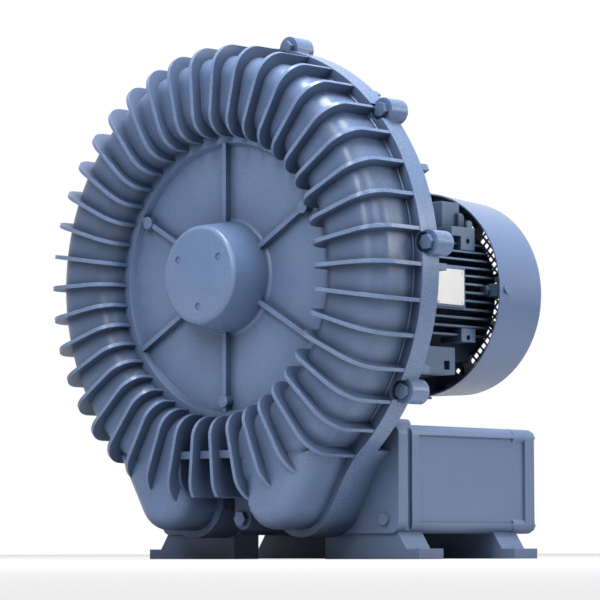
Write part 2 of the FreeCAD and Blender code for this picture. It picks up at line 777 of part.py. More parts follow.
def rear_housing():
    """The back half of the casing, with the lugs, the legs' rear and the motor seat."""
    body = new_body("HousingBody")
    spin(body, "Revolution", "Plate", [
        ("Sizes.ShaftPass", "Sizes.ChamberBack"),
        ("Sizes.ChamberRadius", "Sizes.ChamberBack"),
        ("Sizes.ChamberRadius", "Sizes.PartingDepth"),
        ("Sizes.FlangeRadius", "Sizes.PartingDepth"),
        ("Sizes.FlangeRadius", "Sizes.HousingFlangeBack"),
        ("Sizes.PlateRadius", "Sizes.HousingFlangeBack"),
        ("Sizes.PlateRadius", "Sizes.RimBack"),
        ("Sizes.RimInner", "Sizes.RimBack"),
        ("Sizes.RimInner", "Sizes.PlateBack"),
        ("Sizes.RingOuter", "Sizes.PlateBack"),
        ("Sizes.RingOuter", "Sizes.MotorFlangeFront"),
        ("Sizes.RingInner", "Sizes.MotorFlangeFront"),
        ("Sizes.RingInner", "Sizes.PlateBack"),
        ("Sizes.BossRadius", "Sizes.PlateBack"),
        ("Sizes.BossRadius", "Sizes.BossBack"),
        ("Sizes.SealOuter + Sizes.SmallFit", "Sizes.BossBack"),
        ("Sizes.SealOuter + Sizes.SmallFit", "Sizes.SealFront"),
        ("Sizes.ShaftPass", "Sizes.SealFront")])
    rib = slab(body, "BackRib", box_corners("Sizes.RingOuter - Sizes.CastWall", "Sizes.BackRibReach",
                                            "-Sizes.BackRibWidth / 2", "Sizes.BackRibWidth / 2"),
               "Sizes.ChamberBack + Sizes.CastWall", "Sizes.BackRibBack")
    around(body, "BackRibs", [rib], "Sizes.BackRibCount")
    for side in (1, -1):
        rim = right_side(leg_outline("Sizes.LegRadius + Sizes.LegRim", "Sizes.LegSide", True), side)
        slab(body, "LegBack", rim, "Sizes.PartingDepth", "Sizes.LegBack")
    drill(body, "ChamberSink", "0", "0", "Sizes.ChamberRadius", "Sizes.PartingDepth",
          "Sizes.ChamberBack")
    flange_trim(body, "Sizes.PartingDepth", "Sizes.LegBack")
    keel_lug(body, "Sizes.PartingDepth", "Sizes.LugBack")
    body_back = "Sizes.LugBack - Sizes.LugTaper"
    lug = ring_lugs(body, "Sizes.PartingDepth", "Sizes.HousingFlangeBack")
    barrel = disc(body, "LugBarrel", "Sizes.LugCircle", "0", "Sizes.LugRadius",
                  "Sizes.HousingFlangeBack", body_back, "Sizes.LugPhase")
    end_sketch = new_sketch(body, "XZ_Plane", "LugEndCircle", "-(%s)" % body_back, "Sizes.LugPhase")
    circle(end_sketch, "Sizes.LugCircle", "0", "Sizes.LugRadius")
    end = feature(body, "Pad", "LugEnd", end_sketch, "Sizes.LugTaper")
    end.Reversed = True
    bind(end, "TaperAngle", "-Sizes.LugTaperAngle")
    repeat_lugs(body, lug + [barrel, end])
    reach = "Sizes.BoltTip + Sizes.BoltClearance"
    hole = drill(body, "BoltHole", "Sizes.LugCircle", "0", "Sizes.BoltRadius + Sizes.BoltClearance",
                 "Sizes.PartingDepth", reach, "Sizes.LugPhase")
    around(body, "BoltHoles", [hole], "Sizes.LugCount",
           "Sizes.LugPitch")
    drill(body, "KeelHole", "Sizes.KeelBoltX", "Sizes.KeelBoltZ",
          "Sizes.BoltRadius + Sizes.BoltClearance", "Sizes.PartingDepth", reach)
    screw = drill(body, "MotorHole", "Sizes.MotorBoltCircle", "0",
                  "Sizes.BoltRadius + Sizes.BoltClearance",
                  "Sizes.MotorBoltTip - Sizes.BoltClearance", "Sizes.MotorFlangeFront", "30")
    around(body, "MotorHoles", [screw], "Sizes.MotorBoltCount")
    for side in (1, -1):
        across = "%d * Sizes.DoorX" % side
        drill(body, "LegDoor", across, "Sizes.DoorZ", "Sizes.DoorRadius", "Sizes.RimBack",
              "Sizes.LegBack + Sizes.CastWall")
        for place in ("Sizes.SilencerBoltIn", "Sizes.SilencerBoltOut"):
            drill(body, "SilencerHole", "%d * %s" % (side, place), "Sizes.SilencerBoltZ",
                  "Sizes.EarBoltRadius + Sizes.BoltClearance",
                  "Sizes.SilencerBoltTip - Sizes.BoltClearance", "Sizes.LegBack")
    ducts = [leg_duct("Sizes.LegRadius + Sizes.LegRim - Sizes.LegBackWall",
                      "Sizes.DoorZ + Sizes.DoorRadius", "Sizes.PartingDepth - Sizes.CastWall",
                      "Sizes.LegBack - Sizes.LegBackWall", side) for side in (1, -1)]
    spaces = combine("MultiFuse", "HousingSpaces", ducts)
    keep(combine("Cut", "Housing", body, spaces), "rear_housing")


def hexagon(across, up, radius):
    """The six corners of a bolt head or nut."""
    return [("%s + %s * cos(%d)" % (across, radius, 60 * k),
             "%s + %s * sin(%d)" % (up, radius, 60 * k)) for k in range(6)]


def bolt(body, across, up, seat, tip, shank, head_radius, head, turn="0"):
    """A hexagon bolt along the shaft; its head lies on the far side of the seat from its tip."""
    if num(tip) > num(seat):
        top = slab(body, "Head", hexagon(across, up, head_radius),
                   "(%s) - (%s)" % (seat, head), seat, turn)
        stem = disc(body, "Shank", across, up, shank, seat, tip, turn)
    else:
        top = slab(body, "Head", hexagon(across, up, head_radius), seat,
                   "(%s) + (%s)" % (seat, head), turn)
        stem = disc(body, "Shank", across, up, shank, tip, seat, turn)
    return [top, stem]


def cover_bolts():
    """Eight bolts round the rim and one between the legs."""
    body = new_body("CoverBoltsBody")
    sizes = ("Sizes.BoltRadius", "Sizes.BoltHeadRadius", "Sizes.BoltHead")
    pair = bolt(body, "Sizes.LugCircle", "0", "Sizes.LugSeat", "Sizes.BoltTip", *sizes,
                turn="Sizes.LugPhase")
    around(body, "RimBolts", pair, "Sizes.LugCount",
           "Sizes.LugPitch")
    bolt(body, "Sizes.KeelBoltX", "Sizes.KeelBoltZ", "Sizes.FlangeDepth", "Sizes.BoltTip", *sizes)
    keep(body, "cover_bolts")


def motor_flange_bolts():
    """Six bolts that hold the motor's front shield to the casing."""
    body = new_body("MotorBoltsBody")
    pair = bolt(body, "Sizes.MotorBoltCircle", "0",
                "Sizes.MotorFlangeFront + Sizes.MotorFlangeThickness", "Sizes.MotorBoltTip",
                "Sizes.BoltRadius", "Sizes.BoltHeadRadius", "Sizes.BoltHead", turn="30")
    around(body, "MotorBolts", pair, "Sizes.MotorBoltCount")
    keep(body, "motor_flange_bolts")


def impeller():
    """A disc with a ring of pockets: half a torus divided by radial vanes."""
    front = "Sizes.RunFace + Sizes.RunClearance"
    near = "Sizes.ChannelCircle - Sizes.ChannelRadius"
    far = "Sizes.ChannelCircle + Sizes.ChannelRadius"
    tip = "Sizes.ChamberRadius - Sizes.RimClearance"
    body = new_body("ImpellerBody")
    spin(body, "Revolution", "Wheel", [
        ("Sizes.ImpellerSeatRadius", "Sizes.HubFront"),
        ("Sizes.HubRadius", "Sizes.HubFront"),
        ("Sizes.HubRadius", "Sizes.WebFront"),
        (near + " - Sizes.ImpellerSkirt", "Sizes.WebFront"),
        (near + " - Sizes.ImpellerSkirt", front),
        (near, front, "Sizes.ChannelRadius", -1),
        ("Sizes.ChannelCircle", front + " + Sizes.ChannelRadius", "Sizes.ChannelRadius", -1),
        (far, front), (tip, front), (tip, "Sizes.ImpellerBack"),
        (near + " - Sizes.ImpellerSkirt", "Sizes.ImpellerBack"),
        (near + " - Sizes.ImpellerSkirt", "Sizes.WebBack"),
        ("Sizes.HubRadius", "Sizes.WebBack"),
        ("Sizes.HubRadius", "Sizes.ImpellerBack"),
        ("Sizes.ImpellerSeatRadius", "Sizes.ImpellerBack")])
    sketch = new_sketch(body, "XY_Plane", "VaneOutline", "-Sizes.VaneThickness / 2")
    outline(sketch, box_corners(near + " - Sizes.ImpellerSkirt / 2", far + " + Sizes.RimClearance",
                                front, "Sizes.ImpellerBack - Sizes.RimClearance"))
    vane = feature(body, "Pad", "Vane", sketch, "Sizes.VaneThickness")
    around(body, "Vanes", [vane], "Sizes.VaneCount")
    recess(body, "Keyway", box_corners("-Sizes.KeyWidth / 2", "Sizes.KeyWidth / 2", "0",
                                       "Sizes.KeyTop + Sizes.SmallFit"),
           "Sizes.HubFront", "Sizes.ImpellerBack")
    keep(body, "impeller")


def shaft():
    """The one shaft of blower and motor, stepped for its seats."""
    body = new_body("ShaftBody")
    steps = [("Sizes.NoseRadius", "Sizes.NoseEnd"), ("Sizes.ThreadRadius", "Sizes.HubFront"),
             ("Sizes.ImpellerSeatRadius", "Sizes.ImpellerBack"),
             ("Sizes.SealRadius", "Sizes.DriveSeatFront"),
             ("Sizes.DriveSeatRadius", "Sizes.DriveSeatBack"),
             ("Sizes.ShoulderRadius", "Sizes.CoreFront - Sizes.EndRingReach"),
             ("Sizes.CoreSeatRadius", "Sizes.CoreBack"),
             ("Sizes.ShoulderRadius", "Sizes.RearSeatFront"),
             ("Sizes.RearSeatRadius", "Sizes.RearSeatBack"),
             ("Sizes.FanSeatRadius", "Sizes.ShaftBack")]
    corners = [("0", "Sizes.ShaftFront")]
    start = "Sizes.ShaftFront"
    for radius, end in steps:
        corners.append((radius, start))
        corners.append((radius, end))
        start = end
    corners.append(("0", "Sizes.ShaftBack"))
    spin(body, "Revolution", "Steps", corners)
    recess(body, "KeySeat", box_corners("-Sizes.KeyWidth / 2 - Sizes.SmallFit",
                                        "Sizes.KeyWidth / 2 + Sizes.SmallFit",
                                        "Sizes.KeyBottom", "Sizes.ShoulderRadius"),
           "Sizes.KeyFront - Sizes.SmallFit", "Sizes.KeyBack + Sizes.SmallFit")
    keep(body, "shaft")


def impeller_key():
    """The key between shaft and impeller hub."""
    body = new_body("KeyBody")
    slab(body, "Key", box_corners("-Sizes.KeyWidth / 2", "Sizes.KeyWidth / 2", "Sizes.KeyBottom",
                                  "Sizes.KeyTop"), "Sizes.KeyFront", "Sizes.KeyBack")
    keep(body, "impeller_key")


def ring(label, inner, outer, front, back):
    """A plain ring round the shaft."""
    body = new_body("RingBody")
    spin(body, "Revolution", "Ring", box_corners(inner, outer, front, back))
    keep(body, label)


def impeller_nut():
    """The nut on the shaft's thread and the lock washer under it."""
    ring("impeller_lock_washer", "Sizes.ThreadRadius + Sizes.SmallFit", "Sizes.NutRadius",
         "Sizes.HubFront - Sizes.NutWasher", "Sizes.HubFront")
    body = new_body("NutBody")
    back = "Sizes.HubFront - Sizes.NutWasher"
    spin(body, "Revolution", "Nut", box_corners("Sizes.ThreadRadius + Sizes.SmallFit",
                                                "Sizes.NutRadius", back + " - Sizes.NutWidth",
                                                back))
    slot = recess(body, "Slot", box_corners("Sizes.NutRadius - Sizes.NutSlot", "Sizes.ReliefRadius",
                                            "-Sizes.NutSlot", "Sizes.NutSlot"),
                  back + " - Sizes.NutWidth", back)
    around(body, "Slots", [slot], "4")
    keep(body, "impeller_nut")


def bearing(name, bore, outer, front, back):
    """A sealed ball bearing: the ring on the shaft, and the outer ring with its shields."""
    inner = "%s + Sizes.RingThickness" % bore
    ring(name + "_bearing_inner", bore, inner, front, back)
    body = new_body("OuterRingBody")
    shield = inner + " + Sizes.ShieldGap"
    race = "%s - Sizes.RingThickness" % outer
    spin(body, "Revolution", "OuterRing", [
        (shield, front + " + Sizes.ShieldGap"), (race, front + " + Sizes.ShieldGap"),
        (race, front), (outer, front), (outer, back), (race, back),
        (race, back + " - Sizes.ShieldGap"), (shield, back + " - Sizes.ShieldGap")])
    keep(body, name + "_bearing_outer")


def drive_end_shield():
    """The motor's front shield: flange to the casing, bearing hub and seat of the frame."""
    flange_back = "Sizes.MotorFlangeFront + Sizes.MotorFlangeThickness"
    body = new_body("DriveShieldBody")
    register = "Sizes.RingInner - Sizes.RegisterFit"
    hub_front = "Sizes.DriveSeatFront - Sizes.BearingLip"
    spin(body, "Revolution", "Shield", [
        ("Sizes.ShoulderRadius", hub_front),
        (register + " - Sizes.ShieldWeb", hub_front),
        (register + " - Sizes.ShieldWeb", "Sizes.MotorFlangeFront - Sizes.RegisterDepth"),
        (register, "Sizes.MotorFlangeFront - Sizes.RegisterDepth"),
        (register, "Sizes.MotorFlangeFront"),
        ("Sizes.MotorFlangeRadius", "Sizes.MotorFlangeFront"),
        ("Sizes.MotorFlangeRadius", flange_back),
        ("Sizes.NeckRadius", flange_back),
        ("Sizes.NeckRadius", "Sizes.FrameFront"),
        ("Sizes.FrameBore - Sizes.RegisterFit", "Sizes.FrameFront"),
        ("Sizes.FrameBore - Sizes.RegisterFit", "Sizes.FrameFront + Sizes.MotorSpigot"),
        ("Sizes.FrameBore - Sizes.ShieldWeb", "Sizes.FrameFront + Sizes.MotorSpigot"),
        ("Sizes.FrameBore - Sizes.ShieldWeb", flange_back),
        ("Sizes.MotorHubRadius", flange_back),
        ("Sizes.MotorHubRadius", "Sizes.DriveSeatBack"),
        ("Sizes.DriveBearingOuter + Sizes.SmallFit", "Sizes.DriveSeatBack"),
        ("Sizes.DriveBearingOuter + Sizes.SmallFit", "Sizes.DriveSeatFront"),
        ("Sizes.ShoulderRadius", "Sizes.DriveSeatFront")])
    ear = slab(body, "Ear", box_corners("Sizes.NeckRadius - Sizes.CastWall", "Sizes.EarTop",
                                        "-Sizes.EarHalf", "Sizes.EarHalf"),
               flange_back, "Sizes.FrameFront")
    around(body, "Ears", [ear], "4")
    hole = drill(body, "FlangeHole", "Sizes.MotorBoltCircle", "0",
                 "Sizes.BoltRadius + Sizes.BoltClearance", "Sizes.MotorFlangeFront", flange_back,
                 "30")
    around(body, "FlangeHoles", [hole], "Sizes.MotorBoltCount")
    tap = drill(body, "EarHole", "Sizes.EarCircle", "0", "Sizes.EarBoltRadius + Sizes.BoltClearance",
                "Sizes.EarTipFront - Sizes.BoltClearance", "Sizes.FrameFront")
    around(body, "EarHoles", [tap], "4")
    keep(body, "drive_end_shield")


def comb(name, axis, count):
    """Parallel plates along the shaft, evenly pitched along one axis about the middle."""
    body = new_body(name)
    start = "-Sizes.FrameFinPitch * (Sizes.%s - 1) / 2 - Sizes.FrameFinThickness / 2" % count
    stop = start + " + Sizes.FrameFinThickness"
    reach = ("-Sizes.FrameFinRadius", "Sizes.FrameFinRadius")
    corners = box_corners(start, stop, *reach) if axis == "X" else box_corners(*reach, start, stop)
    plate = slab(body, "Plate", corners, "Sizes.FrameFinFront", "Sizes.FrameBack")
    row = body.newObject("PartDesign::LinearPattern", "Row")
    row.Originals = [plate]
    row.Direction = (own(body, axis + "_Axis"), [""])
    bind(row, "Length", "Sizes.FrameFinPitch * (Sizes.%s - 1)" % count)
    bind(row, "Occurrences", "Sizes.%s" % count)
    body.Tip = row
    return body


def tube(name, radius, front, back):
    """A solid cylinder along the shaft."""
    body = new_body(name)
    disc(body, name + "Disc", "0", "0", radius, front, back)
    return body


def motor_frame():
    """The ribbed motor casting with ears that also carry the cowl, mounting pads and brackets,
    nameplate seat and box pedestal."""
    fins = combine("MultiFuse", "FrameCombs", [comb("SideComb", "Z", "SideFins"),
                                               comb("TopComb", "X", "TopFins")])
    limit = tube("FinLimit", "Sizes.FrameFinRadius", "Sizes.FrameFront", "Sizes.FrameBack")
    trimmed = combine("Common", "FrameFins", fins, limit)
    body = new_body("FrameBody")
    disc(body, "Barrel", "0", "0", "Sizes.FrameRadius", "Sizes.FrameFront", "Sizes.FrameBack")
    for reach, front, back in (("Sizes.EarTop", "Sizes.FrameFront", "Sizes.EarFrontBack"),
                               ("Sizes.EarReach", "Sizes.EarFront", "Sizes.FrameBack")):
        ear = slab(body, "Ear", box_corners("Sizes.FrameRadius - Sizes.CastWall", reach,
                                            "-Sizes.EarHalf", "Sizes.EarHalf"), front, back)
        around(body, "Ears", [ear], "4")
    slab(body, "Pedestal", box_corners("-Sizes.BoxHalf", "Sizes.BoxHalf", "Sizes.PadRoot",
                                       "Sizes.BoxSeat"), "Sizes.BoxFront", "Sizes.BoxBack")
    slab(body, "PlateSeat", box_corners("Sizes.PadRoot", "Sizes.PlateSeat",
                                        "-Sizes.PlateHeight / 2 - Sizes.PlateBorder",
                                        "Sizes.PlateHeight / 2 + Sizes.PlateBorder"),
         "Sizes.PlateFront - Sizes.PlateBorder",
         "Sizes.PlateFront + Sizes.PlateLength + Sizes.PlateBorder")
    for side in (1, -1):
        low = ("%d * Sizes.LowPadX" % side, "-Sizes.LowPadZ", "Sizes.LowPadFront", "Sizes.LowPadBack")
        high = ("%d * Sizes.HighPadX" % side, "Sizes.HighPadZ", "Sizes.HighPadFront",
                "Sizes.HighPadBack")
        for across, up, front, back in (low, high):
            root = "%s - Sizes.MountHalf" % across
            slab(body, "MountPad", box_corners(root, "%s + Sizes.MountHalf" % across,
                                               "%s - Sizes.MountTall" % up,
                                               "%s + Sizes.MountTall" % up), front, back)
        root = "%d * Sizes.BracketRoot" % side
        face = "%d * Sizes.BracketFace" % side
        high = ("Sizes.BracketLow", "Sizes.BracketHigh")
        low = ("-Sizes.BracketHigh", "-Sizes.BracketLow")
        for bottom, top in (high, low):
            slab(body, "Bracket", box_corners(root, face, bottom, top), "Sizes.BracketFront",
                 "Sizes.BracketBack")
        slab(body, "BracketLedge", box_corners(root, face, "Sizes.BracketHigh",
                                               "Sizes.BracketHigh + Sizes.LedgeHeight"),
             "Sizes.BracketFront - Sizes.LedgeReach", "Sizes.BracketBack")
    outer = combine("MultiFuse", "FrameOuter", [body, trimmed])
    bore = new_body("FrameSpace")
    disc(bore, "Bore", "0", "0", "Sizes.FrameBore", "Sizes.FrameFront", "Sizes.FrameBack")
    for front, back in (("Sizes.FrameFront", "Sizes.EarFrontBack"),
                        ("Sizes.EarFront", "Sizes.FrameBack")):
        hole = disc(bore, "EarHole", "Sizes.EarCircle", "0",
                    "Sizes.EarBoltRadius + Sizes.BoltClearance", front, back)
        around(bore, "EarHoles", [hole], "4")
    notch = disc(bore, "HeadRoom", "Sizes.EarCircle + Sizes.EarHeadRadius / 2", "0",
                 "Sizes.EarHeadRadius * 1.5", "Sizes.EarFront - Sizes.EarHead * 2", "Sizes.EarFront")
    around(bore, "HeadRooms", [notch], "4")
    tap = new_sketch(bore, "YZ_Plane", "CowlTapCircle", "Sizes.EarReach - Sizes.ScrewLength")
    circle(tap, "Sizes.CowlScrewDepth", "0", "Sizes.ScrewRadius + Sizes.SmallFit")
    tapped = feature(bore, "Pad", "CowlTap", tap, "Sizes.ScrewLength + Sizes.CastWall")
    around(bore, "CowlTaps", [tapped], "4")
    middle = "(Sizes.BracketFront + Sizes.BracketBack) / 2"
    for level in ("Sizes.BracketFace - Sizes.PocketDepth", "-Sizes.BracketFace - Sizes.CastWall"):
        for up in ("Sizes.BracketHole", "-Sizes.BracketHole"):
            tap = new_sketch(bore, "YZ_Plane", "BracketTapCircle", level)
            circle(tap, middle, up, "Sizes.BracketHoleRadius")
            feature(bore, "Pad", "BracketTap", tap, "Sizes.PocketDepth + Sizes.CastWall")
    face = "Sizes.LowPadX + Sizes.MountHalf"
    for left in (face + " - Sizes.PocketDepth", "-(%s) - Sizes.CastWall" % face):
        slab(bore, "PadPocket", box_corners(left, left + " + Sizes.PocketDepth + Sizes.CastWall",
                                            "-Sizes.PocketBottom",
                                            "Sizes.PocketSize - Sizes.PocketBottom"),
             "Sizes.PocketFront", "Sizes.PocketFront + Sizes.PocketSize")
    keep(combine("Cut", "Frame", outer, bore), "motor_frame")


def end_shield_bolts():
    """Four bolts at each end of the motor frame, through its ears."""
    body = new_body("EarBoltsBody")
    sizes = ("Sizes.EarBoltRadius", "Sizes.EarHeadRadius", "Sizes.EarHead")
    rear = bolt(body, "Sizes.EarCircle", "0", "Sizes.EarFront", "Sizes.EarBoltTip", *sizes)
    around(body, "RearBolts", rear, "4")
    front = bolt(body, "Sizes.EarCircle", "0", "Sizes.EarFrontBack", "Sizes.EarTipFront", *sizes)
    around(body, "FrontBolts", front, "4")
    keep(body, "end_shield_bolts")


def rear_end_shield():
    """The motor's rear shield with its bearing hub and the ears that take its bolts."""
    bearing_wall = "Sizes.RearSeatBack"
    body = new_body("RearShieldBody")
    spigot = "Sizes.FrameBore - Sizes.RegisterFit"
    spin(body, "Revolution", "Shield", [
        ("Sizes.FanSeatRadius + Sizes.RimClearance", bearing_wall),
        ("Sizes.RearBearingOuter + Sizes.SmallFit", bearing_wall),
        ("Sizes.RearBearingOuter + Sizes.SmallFit", "Sizes.RearSeatFront"),
        ("Sizes.ShieldHub", "Sizes.RearSeatFront"),
        ("Sizes.ShieldHub", "Sizes.ShieldBack - Sizes.ShieldWeb"),
        (spigot + " - Sizes.CastWall", "Sizes.ShieldBack - Sizes.ShieldWeb"),
        (spigot + " - Sizes.CastWall", "Sizes.FrameBack - Sizes.MotorSpigot"),
        (spigot, "Sizes.FrameBack - Sizes.MotorSpigot"),
        (spigot, "Sizes.FrameBack"),
        ("Sizes.NeckRadius", "Sizes.FrameBack"),
        ("Sizes.NeckRadius", "Sizes.FrameBack + Sizes.ShieldFlange", "Sizes.NeckRadius / 2", 1),
        ("Sizes.ShieldHub", "Sizes.ShieldBack"),
        ("Sizes.FanSeatRadius + Sizes.RimClearance", "Sizes.ShieldBack")])
    ear = slab(body, "Ear", box_corners("Sizes.FrameBore", "Sizes.EarTop", "-Sizes.EarHalf",
                                        "Sizes.EarHalf"),
               "Sizes.FrameBack", "Sizes.ShieldBack")
    around(body, "Ears", [ear], "4")
    tap = drill(body, "EarHole", "Sizes.EarCircle", "0", "Sizes.EarBoltRadius + Sizes.BoltClearance",
                "Sizes.FrameBack", "Sizes.EarBoltTip + Sizes.BoltClearance")
    around(body, "EarHoles", [tap], "4")
    keep(body, "rear_end_shield")


def stator():
    """The laminated stator in the frame and its winding heads."""
    ring("stator_core", "Sizes.StatorBore", "Sizes.FrameBore - Sizes.SmallFit", "Sizes.CoreFront",
         "Sizes.CoreBack")
    body = new_body("WindingBody")
    for front, back in (("Sizes.CoreFront - Sizes.WindingReach", "Sizes.CoreFront"),
                        ("Sizes.CoreBack", "Sizes.CoreBack + Sizes.WindingReach")):
        spin(body, "Revolution", "WindingHead",
             rounded_corners("Sizes.WindingInner", "Sizes.WindingOuter", front, back,
                             "Sizes.CastWall / 2"))
    keep(body, "stator_winding")


def rotor():
    """The rotor's iron on the shaft and the two end rings of its cage."""
    ring("rotor_core", "Sizes.CoreSeatRadius", "Sizes.StatorBore - Sizes.AirGap",
         "Sizes.CoreFront", "Sizes.CoreBack")
    body = new_body("EndRingsBody")
    for front, back in (("Sizes.CoreFront - Sizes.EndRingReach", "Sizes.CoreFront"),
                        ("Sizes.CoreBack", "Sizes.CoreBack + Sizes.EndRingReach")):
        spin(body, "Revolution", "EndRing",
             box_corners("Sizes.EndRingInner", "Sizes.EndRingOuter", front, back))
    keep(body, "rotor_end_rings")


def fan():
    """The cooling fan: hub, disc and straight radial blades."""
    body = new_body("FanBody")
    plate_back = "Sizes.FanFront + Sizes.FanPlate"
    spin(body, "Revolution", "FanDisc", [
        ("Sizes.FanSeatRadius", "Sizes.FanFront"), ("Sizes.FanRadius", "Sizes.FanFront"),
        ("Sizes.FanRadius", plate_back), ("Sizes.FanHub", plate_back),
        ("Sizes.FanHub", "Sizes.FanBack"), ("Sizes.FanSeatRadius", "Sizes.FanBack")])
    sketch = new_sketch(body, "XY_Plane", "BladeOutline", "-Sizes.FanPlate / 2")
    outline(sketch, [("Sizes.FanHub - Sizes.FanPlate", "Sizes.FanFront + Sizes.FanPlate / 2"),
                     ("Sizes.FanRadius", "Sizes.FanFront + Sizes.FanPlate / 2"),
                     ("Sizes.FanRadius", "Sizes.FanTipBack"),
                     ("Sizes.FanHub - Sizes.FanPlate", "Sizes.FanBack")])
    blade = feature(body, "Pad", "Blade", sketch, "Sizes.FanPlate")
    around(body, "Blades", [blade], "Sizes.FanBlades")
    keep(body, "fan")
    ring("fan_clip", "Sizes.FanSeatRadius", "Sizes.FanHub - Sizes.FanPlate", "Sizes.FanBack",
         "Sizes.FanBack + Sizes.ClipThickness")


def fan_cowl():
    """The sheet cowl over the fan, with rings of openings in its rear face."""
    wall = "Sizes.CowlWall"
    body = new_body("CowlBody")
    spin(body, "Revolution", "CowlShell", [
        ("Sizes.CowlFrontRadius - " + wall, "Sizes.CowlFront"),
        ("Sizes.CowlFrontRadius", "Sizes.CowlFront"),
        ("Sizes.CowlBackRadius", "Sizes.CowlBack - Sizes.CowlRound", "Sizes.CowlRound", 1),
        ("Sizes.CowlBackRadius - Sizes.CowlRound", "Sizes.CowlBack"),
        ("0", "Sizes.CowlBack"), ("0", "Sizes.CowlBack - " + wall),
        ("Sizes.CowlBackRadius - Sizes.CowlRound", "Sizes.CowlBack - " + wall,
         "Sizes.CowlRound - " + wall, -1),
        ("Sizes.CowlBackRadius - " + wall, "Sizes.CowlBack - Sizes.CowlRound")])
    openings = new_body("GrilleSpace")
    for row in range(int(num("Sizes.GrilleRings"))):
        outer = "Sizes.GrilleOuter - %d * Sizes.GrillePitch" % row
        count = "Sizes.GrilleHoles" if row < 2 else "Sizes.GrilleHoles / 2"
        half = "(%s) * tan(180 / (%s)) - Sizes.GrilleBar" % (outer, count)
        inner = outer + " - Sizes.GrillePitch + Sizes.GrilleBar"
        inner_half = "(%s) * tan(180 / (%s)) - Sizes.GrilleBar" % (inner, count)
        hole = slab(openings, "Opening", [(inner, "-(%s)" % inner_half), (outer, "-(%s)" % half),
                                          (outer, half), (inner, inner_half)],
                    "Sizes.CowlBack - Sizes.CowlRound", "Sizes.CowlBack + Sizes.CowlWall")
        around(openings, "Openings", [hole], count)
    sketch = new_sketch(body, "YZ_Plane", "ScrewHoleCircle", "Sizes.CowlFrontRadius")
    circle(sketch, "Sizes.CowlScrewDepth", "0", "Sizes.ScrewRadius + Sizes.SmallFit")
    drilled = feature(body, "Pocket", "ScrewHole", sketch, "Sizes.CastWall")
    around(body, "ScrewHoles", [drilled], "4")
    keep(combine("Cut", "Cowl", body, openings), "fan_cowl")


def cowl_screws():
    """Four screws that hold the cowl to the rear ears of the motor frame."""
    body = new_body("CowlScrewsBody")
    stem_sketch = new_sketch(body, "YZ_Plane", "StemCircle", "Sizes.EarReach - Sizes.ScrewLength")
    circle(stem_sketch, "Sizes.CowlScrewDepth", "0", "Sizes.ScrewRadius")
    stem = feature(body, "Pad", "Stem", stem_sketch,
                   "Sizes.ScrewLength + Sizes.CowlFrontRadius - Sizes.EarReach")
    head_sketch = new_sketch(body, "YZ_Plane", "HeadCircle", "Sizes.CowlFrontRadius")
    circle(head_sketch, "Sizes.CowlScrewDepth", "0", "Sizes.ScrewHeadRadius")
    head = feature(body, "Pad", "ScrewHead", head_sketch, "Sizes.ScrewHead")
    around(body, "CowlScrews", [stem, head], "4")
    keep(body, "cowl_screws")


def nameplate():
    """The blank plate on the side of the motor frame and its four rivets."""
    body = new_body("NameplateBody")
    back = "Sizes.PlateFront + Sizes.PlateLength"
    sketch = new_sketch(body, "YZ_Plane", "PlateOutline", "Sizes.PlateSeat")
    outline(sketch, rounded_corners("Sizes.PlateFront", back, "-Sizes.PlateHeight / 2",
                                    "Sizes.PlateHeight / 2", "Sizes.PlateBorder"))
    feature(body, "Pad", "Plate", sketch, "Sizes.PlateThickness")
    rivets = new_body("RivetsBody")
    for up in ("Sizes.PlateHeight / 2 - Sizes.PlateBorder", "Sizes.PlateBorder - Sizes.PlateHeight / 2"):
        for along in ("Sizes.PlateFront + Sizes.PlateBorder", back + " - Sizes.PlateBorder"):
            head = new_sketch(rivets, "YZ_Plane", "RivetCircle", "Sizes.PlateSeat + Sizes.PlateThickness")
            circle(head, along, up, "Sizes.RivetRadius")
            feature(rivets, "Pad", "Rivet", head, "Sizes.PlateThickness")
    keep(body, "nameplate")
    keep(rivets, "nameplate_rivets")


